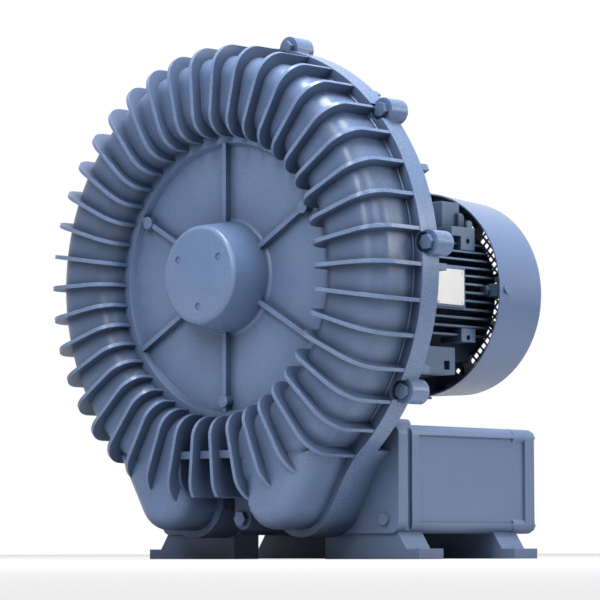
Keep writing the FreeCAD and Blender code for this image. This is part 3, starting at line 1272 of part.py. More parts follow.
def terminal_box():
    """The terminal box on its pedestal, with lid, screws, terminal board and cable gland."""
    left, right = "-Sizes.BoxHalf", "Sizes.BoxHalf"
    top = "Sizes.BoxTop - Sizes.LidThickness"
    middle = "(Sizes.BoxFront + Sizes.BoxBack) / 2"
    body = new_body("TerminalBoxBody")
    sketch = new_sketch(body, "XY_Plane", "BoxOutline", "Sizes.BoxSeat")
    outline(sketch, rounded_corners(left, right, "Sizes.BoxFront", "Sizes.BoxBack",
                                    "Sizes.BoxCorner"))
    feature(body, "Pad", "Box", sketch, "Sizes.BoxTop - Sizes.LidThickness - Sizes.BoxSeat")
    room = new_sketch(body, "XY_Plane", "RoomOutline", top)
    outline(room, rounded_corners(left + " + Sizes.BoxWall", right + " - Sizes.BoxWall",
                                  "Sizes.BoxFront + Sizes.BoxWall", "Sizes.BoxBack - Sizes.BoxWall",
                                  "Sizes.BoxCorner"))
    feature(body, "Pocket", "Room", room, top + " - Sizes.BoxSeat - Sizes.BoxWall")
    for side in (1, -1):
        for along in ("Sizes.BoxFront + Sizes.PostInset", "Sizes.BoxBack - Sizes.PostInset"):
            across = "%d * (Sizes.BoxHalf - Sizes.PostInset)" % side
            post = new_sketch(body, "XY_Plane", "PostCircle", "Sizes.BoxSeat + Sizes.BoxWall / 2")
            circle(post, across, along, "Sizes.PostRadius")
            feature(body, "Pad", "Post", post, top + " - Sizes.BoxSeat - Sizes.BoxWall / 2")
            tap = new_sketch(body, "XY_Plane", "TapCircle", top)
            circle(tap, across, along, "Sizes.ScrewRadius + Sizes.SmallFit")
            feature(body, "Pocket", "Tap", tap, "Sizes.ScrewLength")
    entry = new_sketch(body, "YZ_Plane", "EntryCircle", left + " + Sizes.BoxWall * 2", "0")
    circle(entry, middle, "Sizes.EntryLevel", "Sizes.EntryRadius + Sizes.SmallFit")
    feature(body, "Pocket", "Entry", entry, "Sizes.BoxWall * 3")
    keep(body, "terminal_box")

    lid = new_body("LidBody")
    cover = new_sketch(lid, "XY_Plane", "LidOutline", top)
    outline(cover, rounded_corners(left, right, "Sizes.BoxFront", "Sizes.BoxBack",
                                   "Sizes.BoxCorner"))
    feature(lid, "Pad", "Lid", cover, "Sizes.LidThickness")
    screws = new_body("LidScrewsBody")
    for side in (1, -1):
        for along in ("Sizes.BoxFront + Sizes.PostInset", "Sizes.BoxBack - Sizes.PostInset"):
            across = "%d * (Sizes.BoxHalf - Sizes.PostInset)" % side
            tap = new_sketch(lid, "XY_Plane", "LidHoleCircle", "Sizes.BoxTop")
            circle(tap, across, along, "Sizes.ScrewRadius + Sizes.SmallFit")
            feature(lid, "Pocket", "LidHole", tap, "Sizes.LidThickness")
            stem = new_sketch(screws, "XY_Plane", "StemCircle",
                              "Sizes.BoxTop - Sizes.LidThickness - Sizes.ScrewLength / 2")
            circle(stem, across, along, "Sizes.ScrewRadius")
            feature(screws, "Pad", "Stem", stem, "Sizes.LidThickness + Sizes.ScrewLength / 2")
            head = new_sketch(screws, "XY_Plane", "HeadCircle", "Sizes.BoxTop")
            circle(head, across, along, "Sizes.ScrewHeadRadius")
            feature(screws, "Pad", "Head", head, "Sizes.ScrewHead")
    keep(lid, "terminal_box_lid")
    keep(screws, "terminal_lid_screws")

    board = new_body("BoardBody")
    floor = "Sizes.BoxSeat + Sizes.BoxWall"
    plate = new_sketch(board, "XY_Plane", "BoardOutline", floor)
    outline(plate, box_corners("-Sizes.BoardHalf", "Sizes.BoardHalf", middle + " - Sizes.BoardWide",
                               middle + " + Sizes.BoardWide"))
    feature(board, "Pad", "Board", plate, "Sizes.BoardThickness")
    for row in (-1, 1):
        for place in (-1, 0, 1):
            stud = new_sketch(board, "XY_Plane", "StudCircle", floor)
            circle(stud, "%d * Sizes.StudPitch" % place,
                   "%s + %d * Sizes.StudPitch / 2" % (middle, row), "Sizes.StudRadius")
            feature(board, "Pad", "Stud", stud, "Sizes.BoardThickness * 2")
    keep(board, "terminal_board")

    gland = new_body("GlandBody")
    for radius, start, stop in (("Sizes.EntryRadius", "-Sizes.BoxHalf", "Sizes.BoxWall"),
                                ("Sizes.GlandCollar", "-Sizes.BoxHalf - Sizes.GlandReach",
                                 "Sizes.GlandReach")):
        step = new_sketch(gland, "YZ_Plane", "GlandCircle", start)
        circle(step, middle, "Sizes.EntryLevel", radius)
        feature(gland, "Pad", "GlandStep", step, stop)
    bore = new_sketch(gland, "YZ_Plane", "GlandBoreCircle", "-Sizes.BoxHalf + Sizes.BoxWall")
    circle(bore, middle, "Sizes.EntryLevel", "Sizes.GlandBore")
    feature(gland, "Pocket", "GlandBore", bore, "Sizes.GlandReach + Sizes.BoxWall")
    keep(gland, "cable_gland")


def silencer_shell():
    """One silencer casting: a box with a groove and panel, raised crown, feet and a front door."""
    inner, outer = "Sizes.SilencerInner", "Sizes.SilencerOuter"
    low, high = "Sizes.SilencerBottom", "Sizes.SilencerTop"
    open_end = "Sizes.SilencerBack - Sizes.EndPlate"
    body = new_body("SilencerBody")
    slab(body, "Box", rounded_corners(inner, outer, low, high, "Sizes.SilencerCorner"),
         "Sizes.SilencerFront", open_end)
    slab(body, "Crown", rounded_corners(inner + " + Sizes.CrownInset", outer + " - Sizes.CrownInset",
                                        high + " - Sizes.SilencerCorner", high + " + Sizes.CrownRise",
                                        "Sizes.CrownRise"),
         "Sizes.SilencerFront", "Sizes.CrownBack")
    for start, stop, depth, inset in (
            ("Sizes.GrooveFront", "Sizes.GrooveBack", "Sizes.GrooveDepth", "0"),
            ("Sizes.PanelFront", "Sizes.PanelBack", "Sizes.PanelDepth", "Sizes.PanelInset")):
        face = new_sketch(body, "YZ_Plane", "SideOutline", outer)
        outline(face, box_corners(start, stop, "%s + %s" % (low, inset), "%s - %s" % (high, inset)))
        feature(body, "Pocket", "SideRecess", face, depth)
    wall = "Sizes.SilencerWall"
    recess(body, "Room", box_corners(inner + " + " + wall, outer + " - " + wall, low + " + " + wall,
                                     high + " - " + wall),
           "Sizes.SilencerFront + " + wall, open_end)
    post_in, post_out = inner + " + Sizes.CornerPost", outer + " - Sizes.CornerPost"
    post_low, post_high = low + " + Sizes.CornerPost", high + " - Sizes.CornerPost"
    for across in (post_in, post_out):
        for up in (post_low, post_high):
            disc(body, "Post", across, up, "Sizes.CornerPost - Sizes.SmallFit",
                 "Sizes.SilencerBack - Sizes.PostLength", open_end)
            drill(body, "PostHole", across, up, "Sizes.EarBoltRadius + Sizes.BoltClearance",
                  "Sizes.EndBoltTip - Sizes.BoltClearance", open_end)
    drill(body, "Door", "Sizes.DoorX", "Sizes.DoorZ", "Sizes.DoorRadius", "Sizes.SilencerFront",
          "Sizes.SilencerFront + " + wall)
    for place in ("Sizes.SilencerBoltIn", "Sizes.SilencerBoltOut"):
        drill(body, "FrontHole", place, "Sizes.SilencerBoltZ",
              "Sizes.EarBoltRadius + Sizes.BoltClearance", "Sizes.SilencerFront",
              "Sizes.SilencerFront + " + wall)
    disc(body, "Plug", "Sizes.PlugX", "Sizes.PlugZ", "Sizes.PlugRadius",
         "Sizes.SilencerFront - Sizes.PlugReach", "Sizes.SilencerFront + " + wall + " / 2")
    ground = "-Sizes.AxisHeight"
    step = "Sizes.FootThickness - Sizes.AxisHeight"
    for front in ("Sizes.FrontFoot", "Sizes.RearFoot"):
        back = front + " + Sizes.FootLength"
        slab(body, "Foot", [("Sizes.FootInner", ground), ("Sizes.FootOuter", ground),
                            ("Sizes.FootOuter", step), (outer + " + Sizes.CastWall", step),
                            (outer + " - Sizes.CastWall", low + " + " + wall + " / 2"),
                            ("Sizes.FootInner", low + " + " + wall + " / 2")], front, back)
        bolt_sketch = new_sketch(body, "XY_Plane", "FootHoleCircle", step)
        circle(bolt_sketch, "Sizes.FootHoleX", "%s + Sizes.FootLength / 2" % front,
               "Sizes.FootHoleRadius")
        feature(body, "Pocket", "FootHole", bolt_sketch, "Sizes.FootThickness")
    return body


def end_cover():
    """The plate that closes a silencer at the rear and carries its port stub."""
    body = new_body("EndCoverBody")
    front = "Sizes.SilencerBack - Sizes.EndPlate"
    slab(body, "Plate", rounded_corners("Sizes.SilencerInner", "Sizes.SilencerOuter",
                                        "Sizes.SilencerBottom", "Sizes.SilencerTop",
                                        "Sizes.SilencerCorner"), front, "Sizes.SilencerBack")
    disc(body, "StubFlange", "Sizes.StubX", "Sizes.StubZ", "Sizes.StubFlangeRadius",
         "Sizes.SilencerBack - Sizes.EndPlate / 2", "Sizes.SilencerBack + Sizes.StubFlange")
    disc(body, "Stub", "Sizes.StubX", "Sizes.StubZ", "Sizes.StubRadius",
         "Sizes.SilencerBack - Sizes.EndPlate / 2", "Sizes.StubBack")
    drill(body, "Port", "Sizes.StubX", "Sizes.StubZ", "Sizes.StubBore", front, "Sizes.StubBack")
    for across in ("Sizes.SilencerInner + Sizes.CornerPost", "Sizes.SilencerOuter - Sizes.CornerPost"):
        for up in ("Sizes.SilencerBottom + Sizes.CornerPost", "Sizes.SilencerTop - Sizes.CornerPost"):
            drill(body, "PlateHole", across, up, "Sizes.EarBoltRadius + Sizes.BoltClearance", front,
                  "Sizes.SilencerBack")
    return body


def liner():
    """The foam sleeve that lines a silencer."""
    wall = "(Sizes.SilencerWall + Sizes.BoltClearance)"
    left, right = "Sizes.SilencerInner + " + wall, "Sizes.SilencerOuter - " + wall
    low, high = "Sizes.SilencerBottom + " + wall, "Sizes.SilencerTop - " + wall
    body = new_body("LinerBody")
    slab(body, "Sleeve", box_corners(left, right, low, high), "Sizes.LinerFront", "Sizes.LinerBack")
    foam = "Sizes.LinerWall"
    recess(body, "Passage", box_corners("%s + %s" % (left, foam), "%s - (%s)" % (right, foam),
                                        "%s + %s" % (low, foam), "%s - %s" % (high, foam)),
           "Sizes.LinerFront", "Sizes.LinerBack")
    return body


def pair(source, name):
    """A right-hand piece and its mirror image on the left."""
    twin = mirrored(name + "Twin", keep(source, "right_" + name))
    twin.Label = "left_" + name
    kept.append(twin)


def silencers():
    """Both silencers with their end covers, foam and bolts."""
    pair(silencer_shell(), "silencer")
    pair(end_cover(), "end_cover")
    pair(liner(), "silencer_liner")
    sizes = ("Sizes.EarBoltRadius", "Sizes.EarHeadRadius", "Sizes.EarHead")
    rear = new_body("EndBoltsBody")
    front = new_body("FrontBoltsBody")
    for side in (1, -1):
        for across in ("Sizes.SilencerInner + Sizes.CornerPost",
                       "Sizes.SilencerOuter - Sizes.CornerPost"):
            for up in ("Sizes.SilencerBottom + Sizes.CornerPost",
                       "Sizes.SilencerTop - Sizes.CornerPost"):
                bolt(rear, "%d * (%s)" % (side, across), up, "Sizes.SilencerBack",
                     "Sizes.EndBoltTip", *sizes)
        for across in ("Sizes.SilencerBoltIn", "Sizes.SilencerBoltOut"):
            bolt(front, "%d * %s" % (side, across), "Sizes.SilencerBoltZ",
                 "Sizes.SilencerFront + Sizes.SilencerWall", "Sizes.SilencerBoltTip", *sizes)
    keep(rear, "end_cover_bolts")
    keep(front, "silencer_bolts")


def bearings_and_seal():
    """The three sealed bearings, the preload washer and the shaft seal of the casing."""
    bearing("outboard", "Sizes.NoseRadius", "Sizes.NoseBearingOuter",
            "Sizes.NoseEnd - Sizes.NoseBearingWidth", "Sizes.NoseEnd")
    bearing("drive", "Sizes.DriveSeatRadius", "Sizes.DriveBearingOuter", "Sizes.DriveSeatFront",
            "Sizes.DriveSeatBack")
    bearing("rear", "Sizes.RearSeatRadius", "Sizes.RearBearingOuter", "Sizes.RearSeatFront",
            "Sizes.RearSeatBack")
    ring("bearing_spring", "Sizes.NoseBearingOuter - Sizes.RingThickness", "Sizes.NoseBearingOuter",
         "-Sizes.CapBoreDepth", "Sizes.NoseEnd - Sizes.NoseBearingWidth")
    ring("casing_shaft_seal", "Sizes.SealRadius + Sizes.SealGap", "Sizes.SealOuter",
         "Sizes.SealFront", "Sizes.SealFront + Sizes.SealWidth")


front_cover()
rear_housing()
cover_bolts()
impeller()
impeller_key()
impeller_nut()
shaft()
bearings_and_seal()
drive_end_shield()
motor_flange_bolts()
motor_frame()
rear_end_shield()
end_shield_bolts()
stator()
rotor()
fan()
fan_cowl()
cowl_screws()
nameplate()
terminal_box()
silencers()
doc.recompute()

for item in doc.Objects:
    if "Invalid" in item.State or "Error" in item.State:
        raise RuntimeError("%s could not be built" % item.Label)
for item in kept:
    if item.Shape.isNull() or not item.Shape.isValid():
        raise RuntimeError("%s has no valid shape" % item.Label)

os.makedirs("parts", exist_ok=True)
for item in kept:
    item.Shape.exportStep("parts/%s.step" % item.Label)
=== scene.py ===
import math
import bmesh
import bpy
import numpy as np
from mathutils import Matrix, Vector


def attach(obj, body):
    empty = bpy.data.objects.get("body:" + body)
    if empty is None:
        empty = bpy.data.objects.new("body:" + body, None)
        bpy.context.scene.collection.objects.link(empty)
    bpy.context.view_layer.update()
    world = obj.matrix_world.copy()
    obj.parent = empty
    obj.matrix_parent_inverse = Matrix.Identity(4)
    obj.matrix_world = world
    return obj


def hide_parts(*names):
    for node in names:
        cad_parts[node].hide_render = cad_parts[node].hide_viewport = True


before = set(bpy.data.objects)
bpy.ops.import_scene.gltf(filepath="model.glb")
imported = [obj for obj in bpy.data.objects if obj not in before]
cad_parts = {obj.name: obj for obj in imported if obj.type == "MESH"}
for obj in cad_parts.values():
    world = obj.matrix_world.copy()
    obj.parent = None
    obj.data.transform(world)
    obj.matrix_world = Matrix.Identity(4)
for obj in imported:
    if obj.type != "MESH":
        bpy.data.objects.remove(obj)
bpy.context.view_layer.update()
scene = bpy.context.scene


# ---- Shaft, key and bearing rings ----
# One steel shaft carries the impeller at its front end, the rotor in the middle and the fan at the
# back. It is turned and ground; the bearing rings are hardened, ground and pressed onto its seats.
def linear(code):
    """The scene-linear colour of a screen colour written as six hexadecimal digits: each channel c
    becomes c / 12.92 below 0.04045 and ((c + 0.055) / 1.055) ** 2.4 above it."""
    parts = [int(code[k:k + 2], 16) / 255 for k in (0, 2, 4)]
    return [c / 12.92 if c <= 0.04045 else ((c + 0.055) / 1.055) ** 2.4 for c in parts] + [1.0]


def node(tree, kind, **values):
    """A new shader node with some of its properties set."""
    item = tree.nodes.new(kind)
    for key, value in values.items():
        setattr(item, key, value)
    return item


def join(tree, source, target):
    """A link from a socket, or a plain value, to an input."""
    if isinstance(source, bpy.types.NodeSocket):
        tree.links.new(source, target)
    else:
        target.default_value = source


def grain(tree, coordinate, scale, detail=4.0, rough=0.5):
    """Irregular grain; its scale is in grains per metre."""
    item = node(tree, "ShaderNodeTexNoise")
    join(tree, coordinate, item.inputs["Vector"])
    for label, value in (("Scale", scale), ("Detail", detail), ("Roughness", rough)):
        join(tree, value, item.inputs[label])
    return item.outputs["Fac"]


def remap(tree, source, low, high, start, stop):
    """Maps a value from low..high to start..stop, held at both ends."""
    item = node(tree, "ShaderNodeMapRange")
    for label, value in (("Value", source), ("From Min", low), ("From Max", high),
                         ("To Min", start), ("To Max", stop)):
        join(tree, value, item.inputs[label])
    return item.outputs["Result"]


def maths(tree, operation, *values):
    """One arithmetic step on values or sockets."""
    item = node(tree, "ShaderNodeMath", operation=operation)
    for value, socket in zip(values, item.inputs):
        join(tree, value, socket)
    return item.outputs[0]


def tint(tree, factor, first, second, blend="MIX"):
    """Two colours mixed or multiplied by a factor."""
    item = node(tree, "ShaderNodeMix", data_type="RGBA", blend_type=blend)
    for value, socket in ((factor, item.inputs[0]), (first, item.inputs[6]), (second, item.inputs[7])):
        join(tree, value, socket)
    return item.outputs[2]


def shade(colour, share):
    """The same colour with its three channels multiplied."""
    return [c * share for c in colour[:3]] + [1.0]


def lift(tree, shader, height, distance):
    """Lets a height, in parts of a distance in metres, stand out of the surface."""
    bump = node(tree, "ShaderNodeBump")
    join(tree, distance, bump.inputs["Distance"])
    join(tree, height, bump.inputs["Height"])
    join(tree, bump.outputs["Normal"], shader.inputs["Normal"])


def shader_group(name, inputs, outputs):
    """An empty shader node group with its sockets, and the nodes at its two ends."""
    group = bpy.data.node_groups.new(name, "ShaderNodeTree")
    for label, kind, value in inputs:
        group.interface.new_socket(name=label, in_out="INPUT",
                                   socket_type="NodeSocket" + kind).default_value = value
    for label, kind in outputs:
        group.interface.new_socket(name=label, in_out="OUTPUT", socket_type="NodeSocket" + kind)
    return group, group.nodes.new("NodeGroupInput"), group.nodes.new("NodeGroupOutput")


def new_material(name):
    """A material, its node tree and its shader."""
    material = bpy.data.materials.new(name)
    material.use_nodes = True
    return material, material.node_tree, material.node_tree.nodes["Principled BSDF"]


def dress(material, *names):
    """Gives pieces of the solid model their material."""
    for name in names:
        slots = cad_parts[name].data.materials
        slots.clear()
        slots.append(material)


# Lines that run round the shaft: grain read at (distance from the shaft's centre, depth), so that it
# changes across the lines and never along them. The distance is the root of x squared + z squared.
AXIS_HEIGHT = 0.335
turning, turning_in, turning_out = shader_group(
    "TurningLines", [("Lines per metre", "Float", 600.0)], [("Lines", "Float")])
centred = node(turning, "ShaderNodeMapping")
centred.inputs["Location"].default_value = (0, 0, -AXIS_HEIGHT)
join(turning, node(turning, "ShaderNodeTexCoord").outputs["Object"], centred.inputs["Vector"])
depth = node(turning, "ShaderNodeSeparateXYZ")
join(turning, centred.outputs["Vector"], depth.inputs["Vector"])
squares = [maths(turning, "MULTIPLY", depth.outputs[way], depth.outputs[way]) for way in "XZ"]
across = maths(turning, "SQRT", maths(turning, "ADD", *squares))
flat = node(turning, "ShaderNodeCombineXYZ")
join(turning, across, flat.inputs["X"])
join(turning, depth.outputs["Y"], flat.inputs["Y"])
join(turning, grain(turning, flat.outputs["Vector"], turning_in.outputs["Lines per metre"], 3.0),
     turning_out.inputs["Lines"])


def turned_metal(name, code, rough, lines=600.0, depth_of_line=0.00004, metallic=1.0):
    """Metal with lines round the shaft that darken it, roughen it and stand in slight relief."""
    material, tree, shader = new_material(name)
    marks = node(tree, "ShaderNodeGroup", node_tree=turning)
    marks.inputs["Lines per metre"].default_value = lines
    line = marks.outputs["Lines"]
    base = linear(code)
    wipe = grain(tree, node(tree, "ShaderNodeTexCoord").outputs["Object"], 25.0)
    tone = tint(tree, line, shade(base, 0.78), base)
    join(tree, tint(tree, remap(tree, wipe, 0.4, 0.7, 0.0, 0.5), tone, shade(base, 0.8)),
         shader.inputs["Base Color"])
    join(tree, remap(tree, line, 0.3, 0.7, rough - 0.07, rough + 0.10), shader.inputs["Roughness"])
    shader.inputs["Metallic"].default_value = metallic
    lift(tree, shader, line, depth_of_line)
    return material


dress(turned_metal("TurnedSteel", "9a9ea4", 0.30), "shaft", "impeller_key", "fan_clip",
      "bearing_spring", "outboard_bearing_inner", "outboard_bearing_outer", "drive_bearing_inner",
      "drive_bearing_outer", "rear_bearing_inner", "rear_bearing_outer")

# ---- Rotor iron and stator iron ----
# Stacks of thin electrical sheet, punched, stacked and skimmed; the sheets' edges show as fine lines.
dress(turned_metal("StackedSheet", "5d5f63", 0.48, 1800.0, 0.00008), "stator_core", "rotor_core")

# ---- Stator winding ----
# Enamelled copper wire laid round in rounded heads at both ends of the stator, laced and dipped in
# varnish.
dress(turned_metal("VarnishedCopper", "a5562c", 0.34, 700.0, 0.0005, 0.85), "stator_winding")

# ---- Rotor end rings ----
# The two end rings of the cage are die-cast aluminium, skimmed after casting.
dress(turned_metal("CastAluminium", "b4b8bd", 0.42, 350.0), "rotor_end_rings")

# ---- Motor frame, its shields and their bolts ----
# Pressure-cast aluminium with cooling fins, bolted between two shields through its ears. Frame,
# shields and bolt heads are sprayed together: satin blue-grey paint over the grain of the casting.
# The paint is thinner in clouds, with painted shade where little open air reaches and a painted
# highlight at edges.
# The second of these colours is painted shade for the corners; the third is a painted highlight for the
# edges.
THIN_COAT, CORNER_SHADE, EDGE_HIGHLIGHT = (0.86, 0.88, 0.94, 1), (0.20, 0.22, 0.26, 1), (1.9, 1.85, 1.75, 1)
CORNER_REACH, BRIGHTEST_EDGE_HIGHLIGHT, CORNER_SHADE_DULLS = 0.06, 0.7, 0.25
CLOUDS, COARSE_GRAIN, FINE_GRAIN, PIMPLES = 7.0, 45.0, 330.0, 42.0
RELIEF, FINE_HEIGHT, PIMPLE_HEIGHT, PIMPLE_SIZE, CELLS_WITHOUT = 0.0006, 0.55, 1.6, 0.07, 0.88
# One input of the group sets how strongly the corners are darkened with painted shade.
paint, paint_in, paint_out = shader_group(
    "PaintOverCasting",
    [("Color", "Color", (0.1, 0.1, 0.1, 1)), ("Roughness", "Float", 0.4), ("Grain", "Float", 1.0),
     ("Edge radius", "Float", 0.0015), ("Soil", "Float", 0.6), ("Pimples", "Float", 1.0)],
    [("Color", "Color"), ("Roughness", "Float"), ("Normal", "Vector")])
place = node(paint, "ShaderNodeTexCoord").outputs["Object"]
# Colour: clouds, painted shade in corners, then a painted highlight on edges, found where the rounded
# normal turns away
cloud = remap(paint, grain(paint, place, CLOUDS, 3.0), 0.35, 0.65, 0.0, 1.0)
thin = tint(paint, 1.0, paint_in.outputs["Color"], THIN_COAT, "MULTIPLY")
coat = tint(paint, cloud, thin, paint_in.outputs["Color"])
# Painted shade: where the occlusion finds other surfaces close by, the coat is darkened towards a dark
# blue-grey.
open_air = node(paint, "ShaderNodeAmbientOcclusion", samples=8)
open_air.inputs["Distance"].default_value = CORNER_REACH
corner = remap(paint, open_air.outputs["AO"], 0.30, 0.92, 1.0, 0.0)
corner_shade_mask = maths(paint, "MULTIPLY", corner, paint_in.outputs["Soil"])
shaded_in_corners = tint(paint, corner_shade_mask, coat, tint(paint, 1.0, coat, CORNER_SHADE, "MULTIPLY"))
# Painted highlight: the coat is brightened along edges, where the rounded normal turns away from the
# true one, except in the shaded corners.
soft = node(paint, "ShaderNodeBevel", samples=4)
join(paint, paint_in.outputs["Edge radius"], soft.inputs["Radius"])
facing = node(paint, "ShaderNodeVectorMath", operation="DOT_PRODUCT")
join(paint, soft.outputs["Normal"], facing.inputs[0])
join(paint, node(paint, "ShaderNodeNewGeometry").outputs["Normal"], facing.inputs[1])
edge_highlight_mask = remap(paint, facing.outputs["Value"], 0.80, 0.98, BRIGHTEST_EDGE_HIGHLIGHT, 0.0)
painted_highlight = maths(paint, "MULTIPLY", edge_highlight_mask, maths(paint, "SUBTRACT", 1.0, corner))
highlighted_coat = tint(paint, 1.0, coat, EDGE_HIGHLIGHT, "MULTIPLY")
join(paint, tint(paint, painted_highlight, shaded_in_corners, highlighted_coat), paint_out.inputs["Color"])
# Roughness: mottled by the fine grain, duller in the corners under the painted shade, a little glossier
# in the full coat
fine = grain(paint, place, FINE_GRAIN, 2.0)
mottle = maths(paint, "MULTIPLY", remap(paint, fine, 0.3, 0.7, -0.10, 0.14), paint_in.outputs["Grain"])
dull = maths(paint, "ADD", mottle, maths(paint, "MULTIPLY", corner_shade_mask, CORNER_SHADE_DULLS))
uneven = maths(paint, "ADD", dull, remap(paint, cloud, 0.0, 1.0, 0.03, -0.02))
join(paint, maths(paint, "ADD", paint_in.outputs["Roughness"], uneven), paint_out.inputs["Roughness"])
# Relief: the casting's coarse and fine grain, and a pimple in a few of the cells
cells = node(paint, "ShaderNodeTexVoronoi")
cells.inputs["Scale"].default_value = PIMPLES
join(paint, place, cells.inputs["Vector"])
picked = node(paint, "ShaderNodeSeparateColor")
join(paint, cells.outputs["Color"], picked.inputs["Color"])
pimple = maths(paint, "MULTIPLY", remap(paint, cells.outputs["Distance"], 0.0, PIMPLE_SIZE, 1.0, 0.0),
               maths(paint, "GREATER_THAN", picked.outputs["Red"], CELLS_WITHOUT))
pimple = maths(paint, "MULTIPLY", maths(paint, "MULTIPLY", pimple, PIMPLE_HEIGHT),
               paint_in.outputs["Pimples"])
sand = maths(paint, "ADD", grain(paint, place, COARSE_GRAIN, 5.0, 0.6),
             maths(paint, "MULTIPLY", fine, FINE_HEIGHT))
skin = node(paint, "ShaderNodeBump")
skin.inputs["Distance"].default_value = RELIEF
join(paint, paint_in.outputs["Grain"], skin.inputs["Strength"])
join(paint, maths(paint, "ADD", sand, pimple), skin.inputs["Height"])
join(paint, soft.outputs["Normal"], skin.inputs["Normal"])
join(paint, skin.outputs["Normal"], paint_out.inputs["Normal"])


def painted(name, code, rough, sheen=0.5, **amounts):
    """Sprayed paint of one colour; the amounts are inputs of the paint group."""
    material, tree, shader = new_material(name)
    group = node(tree, "ShaderNodeGroup", node_tree=paint)
    group.inputs["Color"].default_value = linear(code)
    group.inputs["Roughness"].default_value = rough
    for label, value in amounts.items():
        group.inputs[label.replace("_", " ")].default_value = value
    join(tree, group.outputs["Color"], shader.inputs["Base Color"])
    join(tree, group.outputs["Roughness"], shader.inputs["Roughness"])
    join(tree, group.outputs["Normal"], shader.inputs["Normal"])
    shader.inputs["Specular IOR Level"].default_value = sheen
    return material


motor_paint = painted("MotorPaint", "54677f", 0.38, 0.28, Grain=0.45, Soil=0.95)
dress(motor_paint, "motor_frame", "drive_end_shield", "rear_end_shield", "motor_flange_bolts",
      "end_shield_bolts")


def arc(centre, radius, start, stop, steps):
    """Points of an outline on a circle round a centre, from one angle in degrees to another."""
    turn = np.radians(np.linspace(start, stop, steps))
    return list(zip(centre[0] + radius * np.cos(turn), centre[1] + radius * np.sin(turn)))


def prism_faces(first, count):
    """The faces between two like outlines of count points each, the first starting at point first."""
    ring = np.arange(count)
    onward = (ring + 1) % count
    return ([(first + ring).tolist(), (first + count + ring).tolist()]
            + (first + np.stack([ring, onward, onward + count, ring + count], -1)).tolist())


# Two small upright ribs stand on the ledge at each side of the frame and are cast with it. A rib's
# outline in depth and height is straight in front and a quarter circle at the top of its rear edge;
# it is carried sideways from its inner to its outer face.
LEDGE_TOP = 0.4115
ledge_ribs, ledge_faces = [], []
for inner, outer, front, rear, top, bend in ((0.0768, 0.0803, 0.136, 0.1465, 0.4325, 0.007),
                                             (0.0932, 0.0967, 0.133, 0.1425, 0.4215, 0.005)):
    outline = np.array([(front, LEDGE_TOP), (front, top)]
                       + arc((rear - bend, top - bend), bend, 90, 0, 8) + [(rear, LEDGE_TOP)])
    for side in (1, -1):
        ledge_faces += prism_faces(sum(len(part) for part in ledge_ribs), len(outline))
        ledge_ribs += [np.insert(outline, 0, side * distance, axis=1) for distance in (inner, outer)]


def solid_piece(name, points, faces, material, body):
    """A mesh with its faces turned outwards, put on a body of the assembly."""
    mesh = bpy.data.meshes.new(name)
    mesh.from_pydata(points, [], faces)
    shell = bmesh.new()
    shell.from_mesh(mesh)
    bmesh.ops.recalc_face_normals(shell, faces=shell.faces)
    shell.to_mesh(mesh)
    shell.free()
    mesh.materials.append(material)
    piece = bpy.data.objects.new(name, mesh)
    scene.collection.objects.link(piece)
    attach(piece, body)
    return piece


solid_piece("LedgeRibs", np.concatenate(ledge_ribs).tolist(), ledge_faces, motor_paint,
            "casing_and_motor")

# ---- Fan ----
# A black nylon moulding pressed on the shaft's end and held by a spring clip: a hub with a small web
# and eight straight paddles, open between them, so that it blows the same either way round.
def moulded(name, code, rough, scale=300.0, relief=0.0003):
    """Plastic, rubber or foam: an even grain that shades, roughens and lifts the surface."""
    material, tree, shader = new_material(name)
    pores = grain(tree, node(tree, "ShaderNodeTexCoord").outputs["Object"], scale, 3.0)
    base = linear(code)
    join(tree, tint(tree, pores, shade(base, 0.7), base), shader.inputs["Base Color"])
    join(tree, remap(tree, pores, 0.3, 0.7, rough - 0.05, rough + 0.08), shader.inputs["Roughness"])
    lift(tree, shader, pores, relief)
    return material


FAN_FRONT, HUB_BACK, HUB_INNER, HUB_OUTER = 0.206, 0.234, 0.015, 0.022
WEB_RADIUS, WEB_BACK = 0.044, 0.2095
BLADES, BLADE_THICKNESS, BLADE_TURN = 8, 0.004, 16
BLADE_ROOT, BLADE_TIP, TIP_ROUND = HUB_OUTER - 0.003, 0.105, 0.006
BLADE_FRONT, BLADE_BACK, BLADE_TIP_BACK = FAN_FRONT + 0.0005, HUB_BACK - 0.001, 0.224


def spun(profile, first, last, steps):
    """A closed profile of (radius, depth) points carried round the shaft: at angle a a point lies at
    (radius * cos a, depth, axis height + radius * sin a). Part of a turn gets its two ends closed."""
    rim, count = np.array(profile, float), len(profile)
    whole = last - first >= 360
    turn = np.radians(np.linspace(first, last, steps, endpoint=not whole))
    grid = np.stack([np.outer(np.cos(turn), rim[:, 0]), np.tile(rim[:, 1], (steps, 1)),
                     AXIS_HEIGHT + np.outer(np.sin(turn), rim[:, 0])], -1)
    row, column = np.meshgrid(np.arange(steps if whole else steps - 1), np.arange(count), indexing="ij")
    after, beside = (row + 1) % steps * count, (column + 1) % count
    faces = np.stack([row * count + column, row * count + beside, after + beside, after + column], -1)
    ends = [] if whole else [list(range(count)), list(range((steps - 1) * count, steps * count))]
    return grid.reshape(-1, 3), faces.reshape(-1, 4).tolist() + ends


nylon = moulded("BlackNylon", "1c1d20", 0.5)
hub_points, hub_faces = spun([(HUB_INNER, FAN_FRONT), (WEB_RADIUS, FAN_FRONT), (WEB_RADIUS, WEB_BACK),
                              (HUB_OUTER, WEB_BACK), (HUB_OUTER, HUB_BACK), (HUB_INNER, HUB_BACK)],
                             0, 360, 64)
